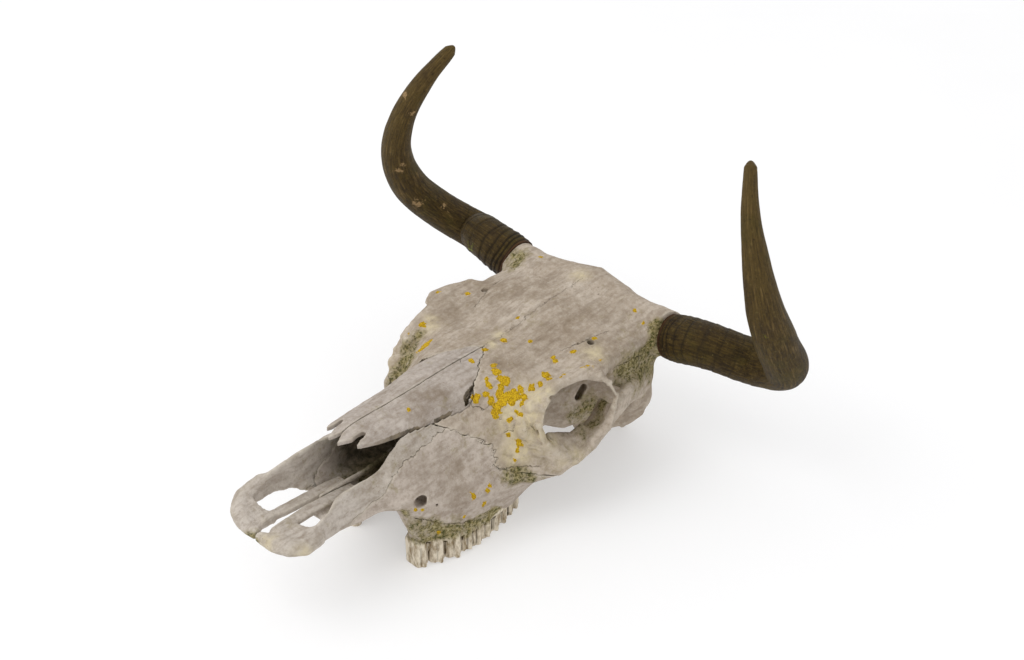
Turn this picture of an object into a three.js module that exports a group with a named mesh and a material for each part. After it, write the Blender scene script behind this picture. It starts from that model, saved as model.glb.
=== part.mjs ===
// A weathered cow skull with its horn sheaths, resting on its cheek teeth and on the two
// paracondylar processes behind them. Millimetres, +Z up, nose towards -Y, the skull's left at +X.
//
// Every bone is a distance field: lofts through named rails, ribbons and ellipsoids, softly
// joined. The fields are sampled on a grid, turned into closed meshes and simplified. The horn
// sheaths are lathe profiles bent along their centre lines.
import * as THREE from 'three';
import { mergeVertices } from 'three/addons/utils/BufferGeometryUtils.js';

// ---------------------------------------------------------------- driving dimensions
const KERF = 0.5; // gap along a suture that parts two solids
const GRID = 4.2; // sampling step of the large bones
const FINE_GRID = 3.3; // sampling step of the nasal, incisive and vomer bones

// Rails run from nose to occiput. Each point is [y, distance from the midline x, height z].
const RIDGE = [[-150, 0, 154], [-119, 0, 158.5], [-60, 0, 157.5], [0, 0, 158.5], [52, 0, 156.5],
  [75, 0, 155.5], [107, 0, 160], [150, 0, 165], [185, 0, 165], [212, 0, 169], [232, 0, 166]];
const FACE_RIDGE = [[-222, 0, 100], [-206, 0, 100], [-190, 0, 140], [-150, 0, 154], [-119, 0, 158.5],
  [-60, 0, 157.5], [0, 0, 158.5], [50, 0, 156.5]];

const NASAL_SHOULDER = [[-150, 14, 152], [-110, 19, 153.5], [-60, 22, 152.5], [-10, 27, 153.5],
  [20, 24, 154], [52, 14, 155]];
const NASAL_EDGE = [[-150, 20, 149], [-135, 21, 151], [-109, 24, 145.5], [-62, 30, 139], [-35, 33.5, 136],
  [-11, 36, 137], [20, 36, 138], [52, 30, 140]];

const FACE_TOP = [[-222, 34, 103], [-190, 33, 108], [-170, 31, 114], [-140, 29, 118], [-122, 28, 123],
  [-106, 29, 134], [-80, 31, 141], [-52, 34, 139], [-11, 37, 138.5], [0, 34, 151], [50, 50, 150]];
const FACE_CHEEK = [[-222, 41, 99], [-190, 37, 97], [-168, 34, 98], [-140, 36, 102], [-116, 42, 112],
  [-105, 42, 118], [-60, 41, 127], [-42, 43, 129], [-15, 57, 114], [5, 70, 113], [20, 85, 114],
  [50, 98, 121]];
const FACE_CREST = [[-222, 41, 93], [-190, 38, 88], [-168, 34, 84], [-140, 36, 81], [-126, 42, 82],
  [-116, 50, 84], [-98, 60, 85], [-70, 67, 72], [-40, 75, 64], [0, 85, 64], [28, 94, 63],
  [50, 102, 68]];
const FACE_GUM = [[-222, 38, 90], [-190, 36, 84], [-168, 32, 79], [-140, 33, 75], [-126, 38, 78],
  [-111, 49, 76], [-104, 53, 40], [-85, 58, 26], [-62, 68, 21], [-39, 71, 19], [0, 71, 19],
  [40, 67, 24], [50, 66, 46]];
const FACE_PALATE = [[-222, 20, 90], [-168, 18, 82], [-140, 18, 77], [-111, 28, 75], [-104, 34, 42],
  [-85, 36, 31], [-39, 46, 26], [0, 44, 26], [36, 38, 29], [50, 30, 56]];
const FACE_VAULT = [[-222, 0, 94], [-168, 0, 84], [-140, 0, 78], [-108, 0, 70], [-60, 0, 62], [0, 0, 58],
  [50, 0, 58]];

const FRONTAL = [[-5, 34, 150], [50, 52, 151.5], [75, 62, 150], [107, 66, 153.5], [150, 62, 159],
  [190, 56, 160], [212, 46, 162], [236, 36, 156]];
const BROW = [[-5, 50, 122], [20, 84, 118], [40, 95, 127], [60, 98, 140], [80, 105, 146], [100, 120, 145],
  [115, 116, 145], [135, 106, 146], [160, 98, 145], [190, 92, 144], [210, 84, 143], [236, 56, 136]];
const TEMPLE = [[-5, 60, 100], [20, 66, 100], [40, 50, 102], [60, 44, 106], [90, 44, 110],
  [125, 52, 112], [148, 63, 112], [166, 80, 110], [188, 87, 104], [205, 89, 100], [222, 78, 98],
  [236, 56, 96]];
const CASE_SIDE = [[-5, 50, 60], [40, 40, 60], [60, 38, 58], [100, 42, 56], [125, 54, 50],
  [148, 60, 50], [168, 70, 50], [190, 79, 46], [205, 84, 44], [222, 70, 48], [236, 44, 56]];
const CASE_BASE = [[-5, 30, 52], [40, 24, 48], [100, 24, 46], [125, 42, 38], [150, 44, 36], [180, 44, 36],
  [205, 44, 34], [222, 34, 38], [236, 26, 48]];
const CASE_KEEL = [[-5, 0, 56], [40, 0, 54], [100, 0, 54], [150, 0, 45], [200, 0, 41], [236, 0, 48]];

const CAVITY_TOP = [[-240, 0, 190], [-110, 0, 180], [0, 0, 152], [30, 0, 140]];
const CAVITY_SHOULDER = [[-240, 30, 190], [-190, 28, 170], [-140, 25, 160], [-100, 25, 152],
  [-60, 26, 148], [0, 26, 146], [30, 16, 136]];
const CAVITY_SIDE = [[-240, 32, 110], [-190, 31, 104], [-168, 27, 104], [-140, 28, 112], [-100, 33, 118],
  [-60, 36, 122], [0, 32, 118], [30, 18, 118]];
const CAVITY_CORNER = [[-240, 30, 60], [-176, 27, 64], [-164, 25, 90], [-140, 26, 86], [-100, 32, 86],
  [-60, 32, 84], [0, 26, 86], [30, 14, 96]];
const CAVITY_FLOOR = [[-240, 0, 60], [-176, 0, 62], [-164, 0, 92], [-140, 0, 86], [-100, 0, 82], [-60, 0, 78],
  [0, 0, 80], [30, 0, 94]];

// Cheek teeth: [front y, length along the row, lobes]
const TEETH = [[-98, 14, 1], [-83.5, 15, 1], [-68, 17, 1], [-50.5, 24, 2], [-26, 27, 2], [1.5, 37, 3]];
const TOOTH_ROW = [[-98, 43, 0], [-85, 48, 0], [-60, 58, 0], [-35, 61, 0], [-6, 59, 0], [10, 56.5, 0],
  [40, 49, 0]];
const TOOTH_HALF_WIDTH = 9.5;
const TOOTH_TOP = 48;

const HORN_SIDES = 14;
const HORN_RINGS = 21;
const SOCKET_RADIUS = 20.5; // the sheath's socket over the horn core
const SOCKET_DEPTH = 14;
const CORE_RADIUS = 16.5;
const CORE_LENGTH = 10;
const NECK_RADIUS = 22.5; // the bare bone between the brow and the sheath
// Centre lines of the sheaths, and their radius along them: [share of the length, -, radius]
const HORN_LEFT = [[103, 217, 132], [147, 216.5, 141.5], [191, 237, 131], [227.5, 232, 145], [233, 205, 188],
  [230, 184, 235], [222, 176, 282.5], [207, 181.5, 328.5], [186, 206.5, 364]];
const HORN_RIGHT = [[-105.5, 216.5, 136.5], [-152, 218, 146], [-191, 243, 129], [-223.5, 220.5, 152.5],
  [-237.5, 190.5, 189.5], [-237.5, 171.5, 235], [-224.5, 169.5, 282], [-203.5, 181, 326],
  [-183.5, 207, 363.5]];
const TAPER_LEFT = [[0, 0, 23.8], [0.3, 0, 23], [0.5, 0, 21.5], [0.62, 0, 18.5], [0.75, 0, 13.8],
  [0.88, 0, 9.4], [0.96, 0, 7], [1, 0, 5.8]];
const TAPER_RIGHT = [[0, 0, 25], [0.15, 0, 23.2], [0.35, 0, 21.5], [0.5, 0, 20.5], [0.62, 0, 17.5],
  [0.75, 0, 14], [0.88, 0, 10.8], [0.96, 0, 8], [1, 0, 6]];

// ---------------------------------------------------------------- curves and fields
const clamp = (value, low, high) => Math.min(Math.max(value, low), high);

function softMin(a, b, reach) {
  const near = Math.max(reach - Math.abs(a - b), 0) / reach;
  return Math.min(a, b) - near * near * reach * 0.25;
}

const softMax = (a, b, reach) => -softMin(-a, -b, reach);
const carve = (body, tool, reach = 4) => softMax(body, -tool, reach);

// A smooth curve through a rail's points without overshoot: y -> [x, z].
function rail(points) {
  const slopes = points.map(() => [0, 0]);
  for (let i = 1; i < points.length - 1; i += 1) {
    const [before, here, after] = [points[i - 1], points[i], points[i + 1]];
    for (const axis of [1, 2]) {
      const left = (here[axis] - before[axis]) / (here[0] - before[0]);
      const right = (after[axis] - here[axis]) / (after[0] - here[0]);
      if (left * right > 0) slopes[i][axis - 1] = (2 * left * right) / (left + right);
    }
  }
  return (y) => {
    const at = clamp(y, points[0][0], points[points.length - 1][0]);
    let i = 0;
    while (i < points.length - 2 && at > points[i + 1][0]) i += 1;
    const span = points[i + 1][0] - points[i][0];
    const t = (at - points[i][0]) / span;
    return [0, 1].map((k) => points[i][k + 1] * (1 + 2 * t) * (1 - t) ** 2
      + points[i + 1][k + 1] * t * t * (3 - 2 * t)
      + span * (slopes[i][k] * t * (1 - t) ** 2 - slopes[i + 1][k] * t * t * (1 - t)));
  };
}

// Distance in a cross-section from the point x, z to the segment a, b.
function toSegment(x, z, [ax, az], [bx, bz]) {
  const [dx, dz] = [bx - ax, bz - az];
  const t = clamp(((x - ax) * dx + (z - az) * dz) / (dx * dx + dz * dz), 0, 1);
  return Math.hypot(x - ax - t * dx, z - az - t * dz);
}

// Distance in a cross-section to one half of a closed outline whose ends lie on the midline.
function halfOutline(x, z, outline) {
  let nearest = Infinity;
  let inside = false;
  const last = outline.length - 1;
  for (let i = 0; i <= last; i += 1) {
    const [ax, az] = outline[i];
    const [bx, bz] = outline[(i + 1) % (last + 1)];
    if (az > z !== bz > z && x < ax + ((z - az) / (bz - az)) * (bx - ax)) inside = !inside;
    if (i < last) nearest = Math.min(nearest, toSegment(x, z, outline[i], outline[i + 1]));
  }
  return inside ? -nearest : nearest;
}

// Draws an outline's corners inwards, so that it can be grown again with round corners.
function inset(outline, radius) {
  return outline.map((point, i) => {
    const before = i > 0 ? outline[i - 1] : [-outline[1][0], outline[1][1]];
    const end = outline.length - 1;
    const after = i < end ? outline[i + 1] : [-outline[end - 1][0], outline[end - 1][1]];
    const inward = new THREE.Vector2(point[1] - before[1], before[0] - point[0]).normalize();
    const outgoing = new THREE.Vector2(after[1] - point[1], point[0] - after[0]).normalize();
    const middle = inward.clone().add(outgoing).normalize();
    const reach = Math.min(radius / Math.max(middle.dot(inward), 0.35), 2.4 * radius);
    return [Math.max(point[0] + middle.x * reach, 0), point[1] + middle.y * reach];
  });
}

// A body whose half-sections join the given rails, from front to back.
function loft(rails, front, back, radius) {
  const curves = rails.map(rail);
  let section = [];
  let sectionY = NaN;
  return (x, y, z) => {
    if (y !== sectionY) {
      sectionY = y;
      section = inset(curves.map((curve) => curve(clamp(y, front, back))), radius);
    }
    const around = halfOutline(Math.abs(x), z, section) - radius;
    return softMax(around, Math.max(front - y, y - back), 6);
  };
}

// A plate or rod along a chain of stations [x, y, z, radius, half-height]. It spreads along up.
function ribbon(stations, up = [0, 0, 1]) {
  const [ux, uy, uz] = up;
  const spread = (dx, dy, dz, t, a, b) => {
    const half = (a[4] ?? 0) + t * ((b[4] ?? 0) - (a[4] ?? 0));
    const along = clamp(dx * ux + dy * uy + dz * uz, -half, half);
    return Math.hypot(dx - along * ux, dy - along * uy, dz - along * uz) - (a[3] + t * (b[3] - a[3]));
  };
  return (x, y, z) => {
    let nearest = Infinity;
    for (let i = 0; i < stations.length - 1; i += 1) {
      const [a, b] = [stations[i], stations[i + 1]];
      const [sx, sy, sz] = [b[0] - a[0], b[1] - a[1], b[2] - a[2]];
      const su = sx * ux + sy * uy + sz * uz;
      const [px, py, pz] = [sx - su * ux, sy - su * uy, sz - su * uz];
      const length = px * px + py * py + pz * pz;
      const t = clamp(((x - a[0]) * px + (y - a[1]) * py + (z - a[2]) * pz) / length, 0, 1);
      nearest = Math.min(nearest, spread(x - a[0] - t * sx, y - a[1] - t * sy, z - a[2] - t * sz, t, a, b));
    }
    return nearest;
  };
}

// An ellipsoid at a centre, turned about the x, y and z axes in degrees.
function ellipsoid(centre, radii, turn = [0, 0, 0]) {
  const turned = new THREE.Matrix4().makeRotationFromEuler(
    new THREE.Euler(...turn.map(THREE.MathUtils.degToRad)),
  ).transpose().elements;
  const smallest = Math.min(...radii);
  return (x, y, z) => {
    const [dx, dy, dz] = [x - centre[0], y - centre[1], z - centre[2]];
    const u = (turned[0] * dx + turned[4] * dy + turned[8] * dz) / radii[0];
    const v = (turned[1] * dx + turned[5] * dy + turned[9] * dz) / radii[1];
    const w = (turned[2] * dx + turned[6] * dy + turned[10] * dz) / radii[2];
    return (Math.hypot(u, v, w) - 1) * smallest;
  };
}

// The same field on both sides of the midline.
const mirrored = (field) => (x, y, z) => field(Math.abs(x), y, z);

// ---------------------------------------------------------------- bones
const FACE_RAILS = [FACE_RIDGE, FACE_TOP, FACE_CHEEK, FACE_CREST, FACE_GUM, FACE_PALATE, FACE_VAULT];
const CASE_RAILS = [RIDGE, FRONTAL, BROW, TEMPLE, CASE_SIDE, CASE_BASE, CASE_KEEL];
const CAVITY_RAILS = [CAVITY_TOP, CAVITY_SHOULDER, CAVITY_SIDE, CAVITY_CORNER, CAVITY_FLOOR];
const face = loft(FACE_RAILS, -216, 49, 4);
const cranium = loft(CASE_RAILS, 0, 232, 9);
const cavity = loft(CAVITY_RAILS, -212, 26, 5);

const orbitRim = mirrored(ribbon([[90, 45, 144, 4.4], [92, 33, 135, 4.6], [95, 26, 122, 4.8],
  [102, 29, 101, 4.8], [109, 46, 80.5, 4.6], [112.6, 61, 72, 4.4], [116, 81, 79.5, 4.2],
  [118, 99.5, 92, 4.2], [117.5, 109, 111, 4.2], [116, 114, 121, 4.2], [112.6, 107, 137.4, 4.2],
  [106, 99.5, 146.5, 4.2], [96.7, 91, 149, 4.2], [90, 58, 149, 4.2], [90, 45, 144, 4.4]]));
const browPlate = mirrored(ribbon([[80, 22, 118, 8], [82, 32, 134, 8], [84, 56, 144, 7],
  [90, 80, 146, 6], [98, 102, 146, 6]]));
const cheekPlate = mirrored(ribbon([[86, 16, 116, 8], [91, 23, 106, 9], [96, 31, 94, 9],
  [101, 39, 83, 8.5]]));
const temporalWall = mirrored(ribbon([[90, 134, 126, 6, 10], [90, 160, 119, 8, 16],
  [85, 186, 104, 8, 30], [80, 197, 94, 9, 35]]));
const earPlate = mirrored(ribbon([[67, 170, 42, 6, 8], [71, 188, 42, 7, 11], [74, 204, 45, 7, 11]]));
const socket = mirrored(ellipsoid([98, 73, 110], [54, 42, 35], [0, 10, 0]));
const orbitBowl = mirrored(ellipsoid([104, 70, 112.5], [46, 41, 35.5], [0, 10, 0]));
const floorFront = mirrored(ribbon([[100, 40, 95, 4, 9], [101.5, 53, 87, 4, 11], [102.5, 70, 79, 4, 10],
  [104, 85.5, 81.4, 4, 11]], [0.83, -0.3, -0.47]));
const floorBack = mirrored(ribbon([[104, 85.5, 81.4, 4, 11], [105, 104, 90, 4, 12],
  [105, 115, 102, 4, 12]], [0.92, -0.33, 0.2]));
// The right brow and cheek flare a little more than the left.
const rightBrow = ribbon([[-80, 44, 137, 6, 8], [-85, 58, 141, 6, 9], [-91, 78, 143.5, 6, 12],
  [-100, 97, 144.5, 6, 12], [-96, 116, 145.5, 6, 11], [-87, 134, 147, 7, 9]], [1, 0, 0]);
const rightCheek = ribbon([[-70, -6, 104, 8, 6], [-83, 20, 103, 8, 8], [-92, 42, 100, 8, 8]]);
const malar = mirrored(ribbon([[88, 26, 68, 8, 7], [104, 44, 69, 6.5, 4], [110, 60, 72, 4, 3],
  [114, 82, 81, 3.8, 3], [116, 99, 93, 3.8, 4], [114, 120, 103, 4.5, 6], [107, 142, 102, 5, 7],
  [97, 170, 95, 7, 8], [80, 188, 88, 9, 8]]));
const hornNeck = mirrored(ribbon([[62, 206, 137, 24], [84, 213, 136, 23.5], [112, 217, 136, NECK_RADIUS]]));
const mastoid = mirrored(ribbon([[66, 199, 108, 11], [73, 202, 84, 9], [74, 204, 56, 9],
  [70, 202, 42, 8.5]]));
const earCanal = mirrored(ribbon([[56, 180, 50, 11], [82, 184, 60, 9]]));
const condyle = mirrored(ellipsoid([27, 226, 50], [15, 15, 21], [20, 0, 20]));
const paracondylar = mirrored(ribbon([[52, 214, 46, 9, 4], [53, 213, 24, 7, 6],
  [53, 210, 2, 6, 6]], [0, 1, 0]));
const bulla = mirrored(ellipsoid([42, 164, 34], [12, 22, 17]));
const foramenMagnum = ribbon([[0, 205, 66, 13], [0, 250, 66, 18]]);
const pterygoid = mirrored(ribbon([[22, 30, 50, 4, 12], [20, 70, 42, 3.5, 18], [20, 104, 36, 3.5, 12]]));
const choana = ribbon([[0, 26, 44, 13, 10], [0, 112, 34, 13, 10]]);
const infraorbital = mirrored(ribbon([[67, -110, 84, 4.8, 1], [52, -88, 82, 5.4, 1]]));
const supraorbital = mirrored(ribbon([[68, 136, 162, 3.6], [64, 128, 138, 3.4]]));

function tooth(frontY, length, lobes) {
  const row = rail(TOOTH_ROW);
  const each = length / lobes;
  const posts = Array.from({ length: lobes }, (_, lobe) => {
    const y = frontY + (lobe + 0.5) * each;
    const [x] = row(y);
    return ribbon([[x, y, 0, each * 0.46], [x, y, TOOTH_TOP, each * 0.5]]
      .map((station) => [...station, TOOTH_HALF_WIDTH - each * 0.3]), [1, 0, 0]);
  });
  return (x, y, z) => Math.min(...posts.map((post) => post(x, y, z)));
}

const teeth = TEETH.map((sizes) => tooth(...sizes));
const toothRow = (x, y, z) => {
  if (z > TOOTH_TOP + 12 || y < -120 || y > 55) return 99;
  return Math.max(Math.min(...teeth.map((one) => one(Math.abs(x), y, z))), z - TOOTH_TOP);
};

// The nasal bones: a bent plate between the ridge, the shoulder and the free edge.
const nasalRails = [RIDGE, NASAL_SHOULDER, NASAL_EDGE].map(rail);
const NASAL_THICKNESS = 5;
const NASAL_CLEARANCE = 2.3; // room round the plates, so that the coarse solids stay apart
const NASAL_BACK = 53; // the two bones end in a point on the midline
const NASAL_CORNER_Y = 0; // rear outer corner
const NASAL_CORNER_X = 35;

const ARCH = [0, 1, 2, 3, 4, 5, 6].map((step) => step / 6);

// The arch of one nasal bone in a cross-section: from the ridge past the shoulder to the edge.
function nasalArch(y) {
  const [ridge, shoulder, edge] = nasalRails.map((curve) => curve(y));
  return ARCH.map((t) => [0, 1].map((axis) => {
    const control = 2 * shoulder[axis] - (ridge[axis] + edge[axis]) / 2;
    return (1 - t) ** 2 * ridge[axis] + 2 * t * (1 - t) * control + t * t * edge[axis];
  }));
}

function nasalPlate(x, y, height, openAbove = false) {
  const arch = nasalArch(y);
  let z = height;
  if (openAbove) {
    const next = Math.max(arch.findIndex((point) => point[0] > x), 1);
    const [a, b] = [arch[next - 1], arch[next]];
    z = Math.min(height, a[1] + clamp((x - a[0]) / (b[0] - a[0]), 0, 1) * (b[1] - a[1]));
    if (x > arch[ARCH.length - 1][0]) z = Math.min(height, arch[ARCH.length - 1][1]);
  }
  return Math.min(...arch.slice(1).map((point, i) => toSegment(x, z, arch[i], point)));
}

const nasalSuture = (x, y) => (
  (y - NASAL_BACK + (x * (NASAL_BACK - NASAL_CORNER_Y)) / NASAL_CORNER_X) * 0.6);

// Ahead of its tips and behind the naso-frontal suture the plate is cut away.
function nasalEnds(x, y) {
  const medialTip = -147 - y + Math.abs(x - 6) * 2.2;
  const lateralTip = -136 - y + Math.abs(x - 20) * 2.6;
  return Math.max(Math.min(medialTip, lateralTip) * 0.4, nasalSuture(x, y));
}

const nasal = (side) => (x, y, z) => {
  const across = x * side;
  if (across < -8 || y < -160 || y > 62 || z < 120) return 20;
  const plate = nasalPlate(Math.max(across, 0), y, z + NASAL_THICKNESS / 2) - NASAL_THICKNESS / 2;
  return Math.max(plate, nasalEnds(across, y), KERF / 2 + 0.4 - across);
};

function nasalRoom(x, y, z) {
  const across = Math.abs(x);
  if (y < -150 || y > 58 || z < 120) return 20;
  const plate = nasalPlate(across, y, z + NASAL_THICKNESS / 2, true);
  const behind = nasalSuture(across, y - 2 * NASAL_CLEARANCE);
  return Math.max(plate - NASAL_THICKNESS / 2 - NASAL_CLEARANCE, behind);
}

// The incisive bones' flat bodies and the rods that they send back along the midline.
const nearEdge = ribbon([[5, -241.5, 101, 4.5], [19, -237.5, 99, 6.5], [33, -232, 98, 7],
  [41, -222, 97, 7], [39, -204, 95, 6]]);
const farEdge = ribbon([[-5, -239, 98, 4.5], [-20, -237, 99, 6.5], [-32, -233, 98.5, 7],
  [-39, -224, 97, 7], [-38, -206, 95, 6]]);
const incisivePlate = mirrored(ellipsoid([22, -226, 99.5], [17, 18, 5]));
const incisiveRod = mirrored(ribbon([[10, -226, 101, 4, 2], [8.5, -206, 100.5, 3.4, 3],
  [7.5, -185, 99.5, 3.4, 4], [7.5, -150, 96, 3.2, 4.5], [7, -112, 91, 3, 4.5]], [1, 0, 0]));
const incisiveNotch = ribbon([[-1, -262, 100, 1.2, 20], [-1, -238, 100, 1.2, 20], [-1.5, -228, 100, 4, 20],
  [-1.5, -214, 100, 4.5, 20], [-1, -204, 100, 1.5, 20], [0, -106, 92, 1.2, 20]]);
// The right fissure reaches further back than the left one.
const farFissure = ribbon([[-21, -178, 88, 7, 12], [-18, -161, 90, 4, 12]]);
const nearBridge = ribbon([[18, -181, 94, 2.8, 9], [19, -168, 92, 3, 10]], [1, 0, 0]);
const vomerPlate = ribbon([[0, -165, 96, 2.2, 3], [0, -120, 90, 2.5, 7], [0, -60, 88, 3, 10],
  [0, -14, 90, 3, 12]]);

// ---------------------------------------------------------------- sutures between solids
// The maxilla ends at a slanting plane behind the third molar.
const MAXILLA_PLANE = new THREE.Plane().setFromCoplanarPoints(
  new THREE.Vector3(42, -43, 131), new THREE.Vector3(68, -5, 102), new THREE.Vector3(70, 40, 30),
);
if (MAXILLA_PLANE.normal.y < 0) MAXILLA_PLANE.negate();
const behindMaxilla = (x, y, z) => MAXILLA_PLANE.normal.x * Math.abs(x) + MAXILLA_PLANE.normal.y * y
  + MAXILLA_PLANE.normal.z * z + MAXILLA_PLANE.constant;

// The nasal process of the incisive bone meets the maxilla along this rising line: [y, -, z].
const INCISIVE_SUTURE = [[-177, 0, 58], [-168, 0, 79], [-128, 0, 98], [-116, 0, 110], [-105, 0, 118.5],
  [-60, 0, 127], [-43, 0, 131], [-36, 0, 160]];
const sutureRise = rail(INCISIVE_SUTURE);
const aboveSuture = (x, y, z) => {
  const [, rise] = sutureRise(y);
  return (lifted(x, y, z) - rise) * 0.7;
};

// The outer edge of the right nasal process stands higher than the left one.
const RIGHT_LIFT = 27;
const lifted = (x, y, z) => z - RIGHT_LIFT * clamp((-x - 14) / 24, 0, 1) * clamp((-105 - y) / 35, 0, 1)
  * (1 - 0.7 * clamp((-195 - y) / 45, 0, 1));

// The nasal opening starts further forward on the right.
const slanted = (x, y) => y - 0.25 * x * clamp((-170 - y) / 30, 0, 1);

// Each neck ends in a flat ring with a core that stands in the sheath's socket.
function hornEnd([base, next]) {
  const start = new THREE.Vector3(...base);
  const along = new THREE.Vector3(...next).sub(start).normalize();
  const tip = start.clone().addScaledVector(along, CORE_LENGTH - CORE_RADIUS * 0.5);
  const foot = start.clone().addScaledVector(along, -CORE_RADIUS);
  const core = ribbon([[...foot, CORE_RADIUS], [...tip, CORE_RADIUS * 0.9]]);
  const offset = new THREE.Vector3();
  return (bone, x, y, z) => {
    offset.set(x, y, z).sub(start);
    const past = offset.dot(along) + KERF;
    const aside = Math.sqrt(Math.max(offset.lengthSq() - (past - KERF) ** 2, 0));
    if (past < -30 || aside > 60) return bone;
    const cut = Math.max(bone, -Math.max(-past, aside - 44));
    return Math.min(cut, Math.max(core(x, y, z), past - KERF - CORE_LENGTH));
  };
}
const hornEnds = [hornEnd(HORN_LEFT), hornEnd(HORN_RIGHT)];

function skullField(x, y, height) {
  const z = lifted(x, y, height);
  const reach = 10 - 7 * clamp((z - 135) / 12, 0, 1);
  let bone = softMin(face(x, y, z), cranium(x, y, z), reach);
  bone = softMin(bone, mastoid(x, y, z), 14);
  bone = softMin(bone, earPlate(x, y, z), 10);
  bone = softMin(bone, hornNeck(x, y, z), 22);
  bone = carve(bone, socket(x, y, z), 8);
  bone = softMin(bone, browPlate(x, y, z), 6);
  bone = softMin(bone, cheekPlate(x, y, z), 8);
  bone = softMin(bone, malar(x, y, z), 7);
  bone = softMin(bone, temporalWall(x, y, z), 10);
  bone = softMin(bone, rightBrow(x, y, z), 8);
  bone = softMin(bone, rightCheek(x, y, z), 8);
  bone = carve(bone, orbitBowl(x, y, z), 3);
  bone = softMin(bone, floorFront(x, y, z), 4);
  bone = softMin(bone, floorBack(x, y, z), 4);
  bone = softMin(bone, orbitRim(x, y, z), 6);
  bone = softMin(bone, earCanal(x, y, z), 8);
  bone = softMin(bone, condyle(x, y, z), 6);
  bone = softMin(bone, paracondylar(x, y, z), 10);
  bone = softMin(bone, bulla(x, y, z), 5);
  bone = softMin(bone, pterygoid(x, y, z), 6);
  bone = carve(bone, choana(x, y, z), 6);
  bone = carve(bone, foramenMagnum(x, y, z), 5);
  bone = softMin(bone, toothRow(x, y, z), 2.5);
  bone = carve(bone, infraorbital(x, y, z), 3);
  bone = carve(bone, supraorbital(x, y, z), 2);
  bone = softMin(bone, nearEdge(x, y, z), 6);
  bone = softMin(bone, farEdge(x, y, z), 6);
  bone = softMin(bone, incisivePlate(x, y, z), 6);
  bone = carve(bone, cavity(x, slanted(x, y), z), 3);
  bone = carve(bone, farFissure(x, y, z), 3);
  bone = softMin(bone, nearBridge(x, y, z), 3);
  bone = softMin(bone, incisiveRod(x, y, z), 4);
  bone = carve(bone, incisiveNotch(x, y, z), 2);
  bone = Math.max(bone, -nasalRoom(x, y, height));
  for (const end of hornEnds) bone = end(bone, x, y, height);
  return Math.max(bone, -height);
}

// ---------------------------------------------------------------- from field to mesh
// Samples a field in a box and follows its zero surface through the six tetrahedra of each cell.
function surface(field, low, high, step) {
  const count = low.map((value, axis) => Math.ceil((high[axis] - value) / step) + 1);
  const [nx, ny, nz] = count;
  const index = (i, j, k) => (j * nz + k) * nx + i;
  const values = new Float64Array(nx * ny * nz);
  for (let j = 0; j < ny; j += 1) {
    for (let k = 0; k < nz; k += 1) {
      for (let i = 0; i < nx; i += 1) {
        const value = field(low[0] + i * step, low[1] + j * step, low[2] + k * step);
        const floor = step * 0.04;
        values[index(i, j, k)] = Math.abs(value) < floor ? Math.sign(value || 1) * floor : value;
      }
    }
  }
  const corner = [0, 1, 2, 3, 4, 5, 6, 7].map((c) => index(c & 1, (c >> 1) & 1, c >> 2));
  const tetrahedra = [[0, 1, 3, 7], [0, 1, 5, 7], [0, 2, 3, 7], [0, 2, 6, 7], [0, 4, 5, 7], [0, 4, 6, 7]];
  const place = (at) => {
    const i = at % nx;
    const k = Math.floor(at / nx) % nz;
    const j = Math.floor(at / (nx * nz));
    return [low[0] + i * step, low[1] + j * step, low[2] + k * step];
  };
  const points = [];
  const triangles = [];
  const known = new Map();
  const crossing = (a, b) => {
    const key = Math.min(a, b) * values.length + Math.max(a, b);
    if (!known.has(key)) {
      const t = values[a] / (values[a] - values[b]);
      const [pa, pb] = [place(a), place(b)];
      known.set(key, points.length);
      points.push(pa.map((value, axis) => value + t * (pb[axis] - value)));
    }
    return known.get(key);
  };
  const addFacing = (a, b, c, inside, outside) => {
    const [pa, pb, pc] = [points[a], points[b], points[c]];
    const [po, pi] = [place(outside), place(inside)];
    const u = pb.map((value, axis) => value - pa[axis]);
    const v = pc.map((value, axis) => value - pa[axis]);
    const out = po.map((value, axis) => value - pi[axis]);
    const facing = (u[1] * v[2] - u[2] * v[1]) * out[0] + (u[2] * v[0] - u[0] * v[2]) * out[1]
      + (u[0] * v[1] - u[1] * v[0]) * out[2];
    triangles.push(facing > 0 ? [a, b, c] : [a, c, b]);
  };
  for (let j = 0; j < ny - 1; j += 1) {
    for (let k = 0; k < nz - 1; k += 1) {
      for (let i = 0; i < nx - 1; i += 1) {
        const base = index(i, j, k);
        const signs = corner.reduce((sum, offset) => sum + (values[base + offset] < 0 ? 1 : 0), 0);
        if (signs === 0 || signs === 8) continue;
        for (const tetrahedron of tetrahedra) {
          const ids = tetrahedron.map((c) => base + corner[c]);
          const inner = ids.filter((id) => values[id] < 0);
          const outer = ids.filter((id) => values[id] >= 0);
          if (inner.length === 1) {
            addFacing(...outer.map((id) => crossing(inner[0], id)), inner[0], outer[0]);
          } else if (inner.length === 3) {
            addFacing(...inner.map((id) => crossing(id, outer[0])), inner[0], outer[0]);
          } else if (inner.length === 2) {
            const [a, b] = outer.map((id) => crossing(inner[0], id));
            const [c, d] = outer.map((id) => crossing(inner[1], id));
            addFacing(a, b, c, inner[0], outer[0]);
            addFacing(b, c, d, inner[0], outer[0]);
          }
        }
      }
    }
  }
  return { points, triangles };
}

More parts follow.
